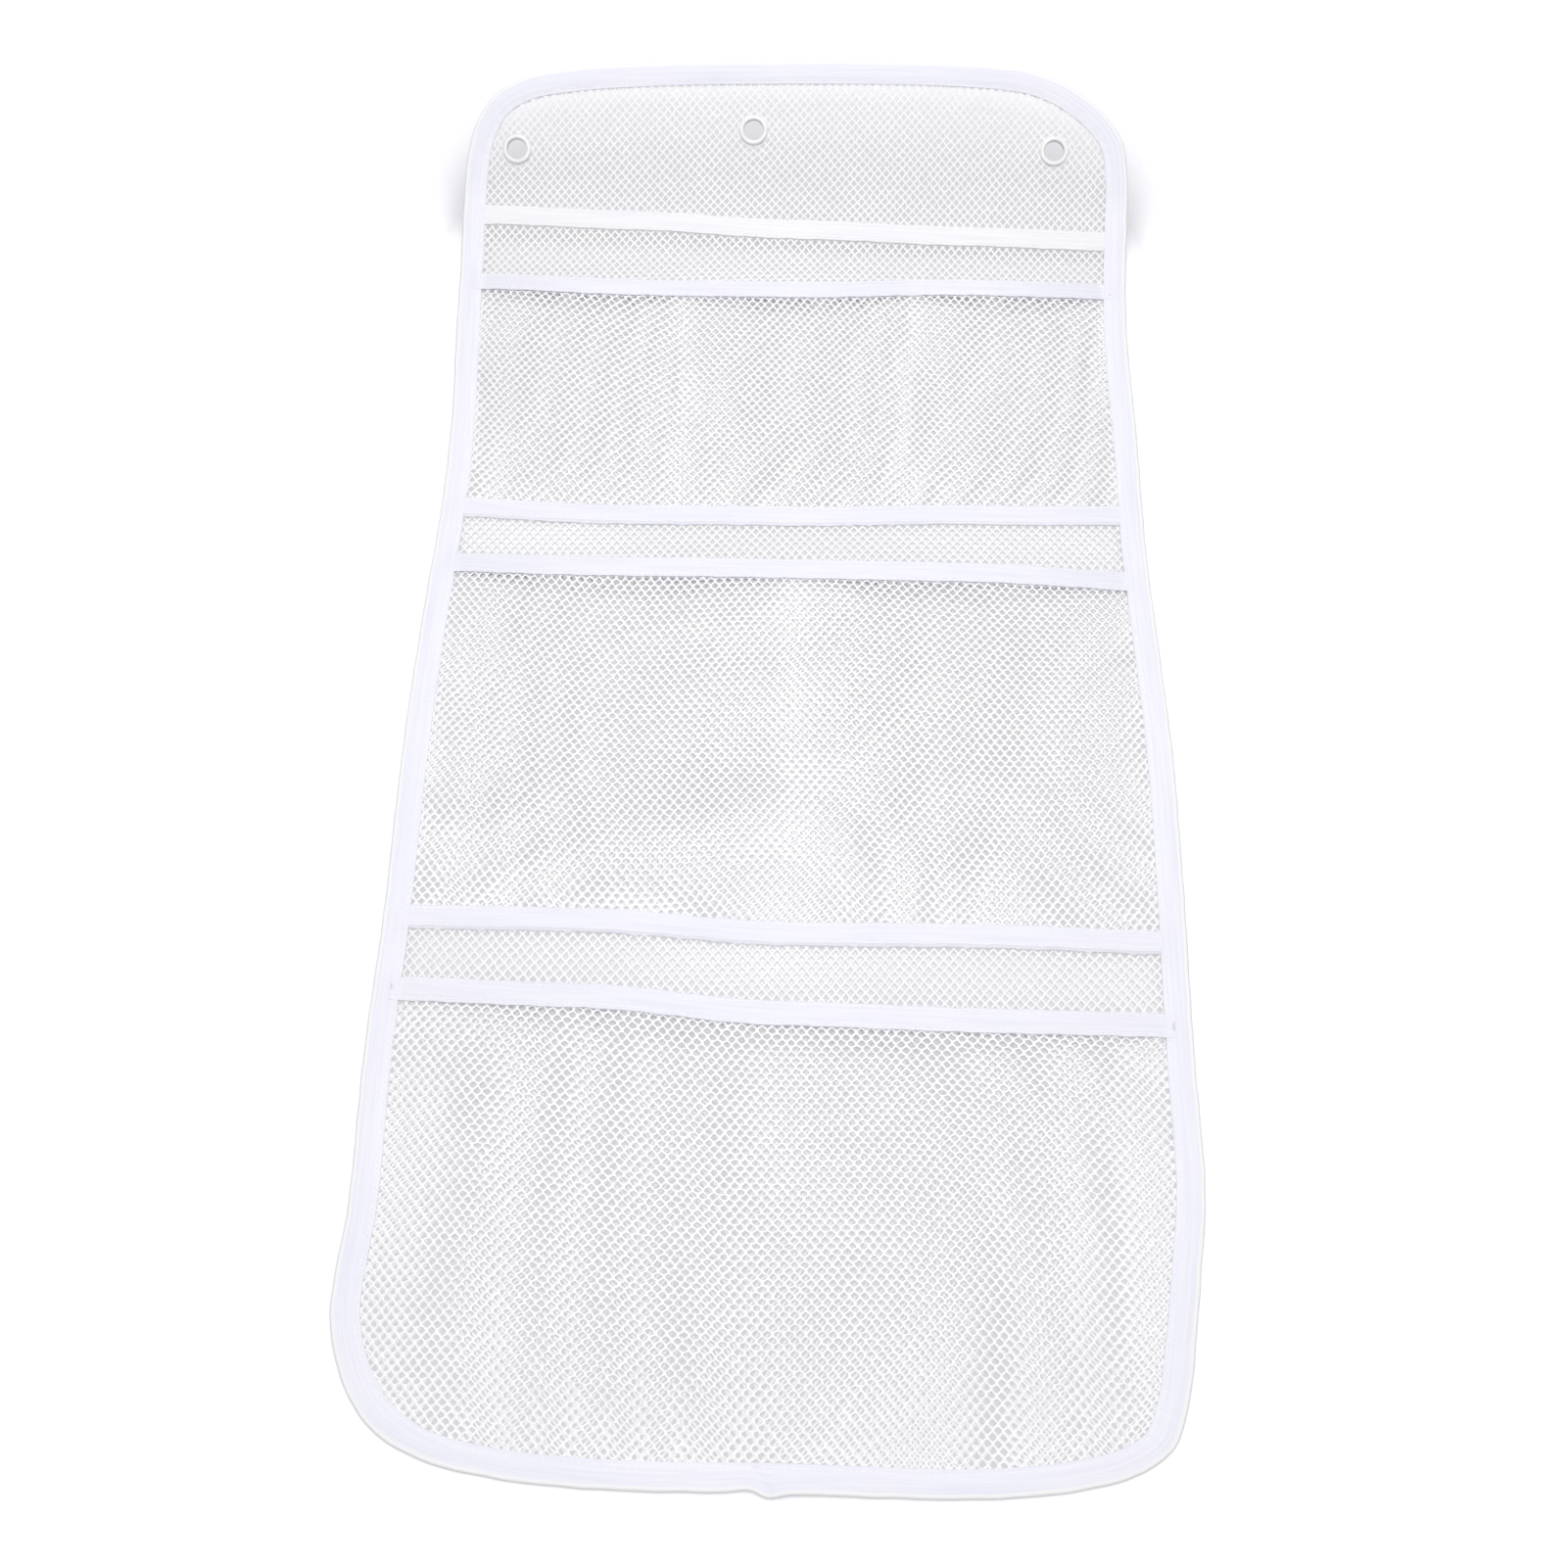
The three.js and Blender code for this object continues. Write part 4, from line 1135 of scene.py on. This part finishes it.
def build_tapes():
    """The header's tape, and each row's mouth tape and base tape."""
    tapes = []

    def plan(node, cloth, *form, **fold):
        tapes.append((node, cloth, Tape(len(tapes) * SEED_STEP, *form, **fold)))

    plan("header_tape", header_ribbon, "header_band", lambda x: tape_line(HEADER, x),
         HEADER[0], HEADER_TAPE_LEVEL)
    for word, row in ROWS.items():
        plan(f"{word}_rim_tape", ribbon, f"{word}_mouth_band", row.rim_line, row.rim_height,
             RIM_OVER_LEVEL, lift=rim_lift(row), folded=True)
        if row.base:
            plan(f"{word}_base_tape", ribbon, f"{word}_base_band", row.base_line,
                 row.base_height, BASE_TAPE_LEVEL, droop=BASE_DROOP)
    for node, cloth, tape in tapes:
        piece = dress(tape.build(), cloth, "tape", node)
        for word, side in (("upper", 1), ("lower", -1)):
            row = tape_stitches(f"{tape.name}_{word}_stitches", tape, side)
            dress(row, thread, "thread", f"{node}_stitch_{word}")
        tape.flat_size()


def build_dividers():
    for name, row, index, node in (
        ("upper_left", UPPER, 0, "upper_divider_seam_left"),
        ("upper_right", UPPER, 1, "upper_divider_seam_right"),
        ("middle", MIDDLE, 0, "middle_divider_seam"),
    ):
        seam = divider_stitches(f"{name}_divider_stitches", row, index)
        dress(seam, thread, "thread", node)


def build_grommets():
    front, back = grommet_profiles()
    for side, centre in GROMMET_PLACES.items():
        eyelet = turned(f"{side}_grommet_front", front, centre)
        dress(eyelet, plastic, "plastic", f"grommet_{side}_eyelet")
        washer = turned(f"{side}_grommet_back", back, centre)
        dress(washer, plastic, "plastic", f"grommet_{side}_washer")


# Stage

FLOOR_HALF = 6.0
FLOOR_DROP = 0.05 * MM
FLOOR_COLOUR = (0.5, 0.5, 0.5, 1.0)
SEEN_FLOOR_COLOUR = (0.2, 0.198, 0.22, 1.0)
GLOW_COLOUR = (0.99, 0.982, 1.0, 1.0)
SHADED_GLOW = 0.52
OPEN_GLOW = 0.4
NEAR_REACH = 12 * MM
FAR_REACH = 150 * MM
NEAR_LEVELS = [(0.0, 0.0), (0.48, 0.0), (0.56, 0.06), (0.63, 0.46), (0.69, 1.0), (1.0, 1.0)]
FAR_LEVELS = [(0.0, 0.04), (0.72, 0.06), (0.83, 0.16), (0.89, 0.6), (0.95, 0.98), (1.0, 1.0)]
OPENNESS_SAMPLES = 14
WORLD_LIGHT = 0.35

# Each lamp's name, place in metres, width and power
LAMPS = [("front_soft_box", (0.0, -0.34, 1.16), 0.35, 7.9),
         ("back_soft_box", (0.0, 0.55, 0.85), 0.5, 3.4)]


def openness(tree, reach):
    """How open the sky is above a point, counting only what stands within a reach."""
    node = add(tree, "AmbientOcclusion", Distance=reach)
    node.samples = OPENNESS_SAMPLES
    return node.outputs["AO"]


def levels(tree, value, steps):
    """A value between 0 and 1, bent through steps of (value, level)."""
    stops, greys = zip(*steps)
    return ramp(tree, value, stops, [(grey, grey, grey) for grey in greys])


def seen_directly(tree):
    """One for camera, glossy and transmission rays, and zero for the light's own bounces."""
    path = tree.nodes.new("ShaderNodeLightPath")
    first = arithmetic(tree, "MAXIMUM", path.outputs["Is Camera Ray"],
                       path.outputs["Is Glossy Ray"])
    return arithmetic(tree, "MAXIMUM", first, path.outputs["Is Transmission Ray"])


def build_floor():
    """A plain white table: matt, with a glow that only directly seen rays meet. The glow
    rises where the sky is open: low things shade it by their near openness, and high
    things by how much more they cover."""
    corners = np.array([(-1, -1, 0), (1, -1, 0), (1, 1, 0), (-1, 1, 0)]) * FLOOR_HALF
    corners[:, 2] = -FLOOR_DROP
    floor = make_piece("floor", corners, [np.array([[0, 1, 2, 3]])])
    material, tree, _ = new_material("white_table")
    tree.nodes.clear()
    seen = seen_directly(tree)
    near = openness(tree, NEAR_REACH)
    share = arithmetic(tree, "DIVIDE", openness(tree, FAR_REACH), near)
    lift = arithmetic(tree, "MULTIPLY", levels(tree, near, NEAR_LEVELS),
                      levels(tree, share, FAR_LEVELS))
    lift = arithmetic(tree, "MULTIPLY_ADD", lift, OPEN_GLOW, SHADED_GLOW)
    strength = arithmetic(tree, "MULTIPLY", lift, seen)
    matt = add(tree, "BsdfDiffuse", Color=mix(tree, seen, FLOOR_COLOUR, SEEN_FLOOR_COLOUR))
    glow = add(tree, "Emission", Color=GLOW_COLOUR, Strength=strength)
    both = tree.nodes.new("ShaderNodeAddShader")
    tree.links.new(matt.outputs["BSDF"], both.inputs[0])
    tree.links.new(glow.outputs["Emission"], both.inputs[1])
    add(tree, "OutputMaterial", Surface=both.outputs["Shader"])
    floor.data.materials.append(material)


def build_world():
    """White where it is seen, and a soft even light everywhere else."""
    world = bpy.data.worlds.new("studio")
    bpy.context.scene.world = world
    world.use_nodes = True
    tree = world.node_tree
    strength = arithmetic(tree, "MULTIPLY_ADD", seen_directly(tree), 1 - WORLD_LIGHT, WORLD_LIGHT)
    feed(tree, tree.nodes["Background"], Color=(1, 1, 1, 1), Strength=strength)


def build_lamps():
    """Two soft boxes that together light the whole length of the cloth evenly."""
    for name, location, size, power in LAMPS:
        lamp = bpy.data.lights.new(name, "AREA")
        lamp.shape = "SQUARE"
        lamp.size = size
        lamp.energy = power
        holder = link(name, lamp)
        holder.location = location
        holder.rotation_euler = (-Vector(location)).to_track_quat("-Z", "Y").to_euler()


# Camera

CAMERA_PLACE = Vector((-0.10, -362.58, 680.20)) * MM
CAMERA_ELEVATION = math.radians(65.5)
CAMERA_ROLL = math.radians(1.1445)
CAMERA_LENS = 36.583
CAMERA_SENSOR = 36.0


def build_camera():
    camera = bpy.data.cameras.new("camera")
    camera.lens = CAMERA_LENS
    camera.sensor_width = CAMERA_SENSOR
    camera.clip_start = 0.01
    holder = link("camera", camera)
    ahead = Vector((0, math.cos(CAMERA_ELEVATION), -math.sin(CAMERA_ELEVATION)))
    level = Vector((1, 0, 0))
    upright = level.cross(ahead)
    right = level * math.cos(CAMERA_ROLL) + upright * math.sin(CAMERA_ROLL)
    up = right.cross(ahead)
    turn = Matrix((right, up, -ahead)).transposed()
    holder.matrix_world = Matrix.Translation(CAMERA_PLACE) @ turn.to_4x4()
    bpy.context.scene.camera = holder


bpy.context.scene.view_settings.view_transform = "Standard"
build_camera()
build_world()
build_lamps()
build_floor()
build_nets()
build_binding()
build_tapes()
build_dividers()
build_grommets()

bpy.context.view_layer.update()
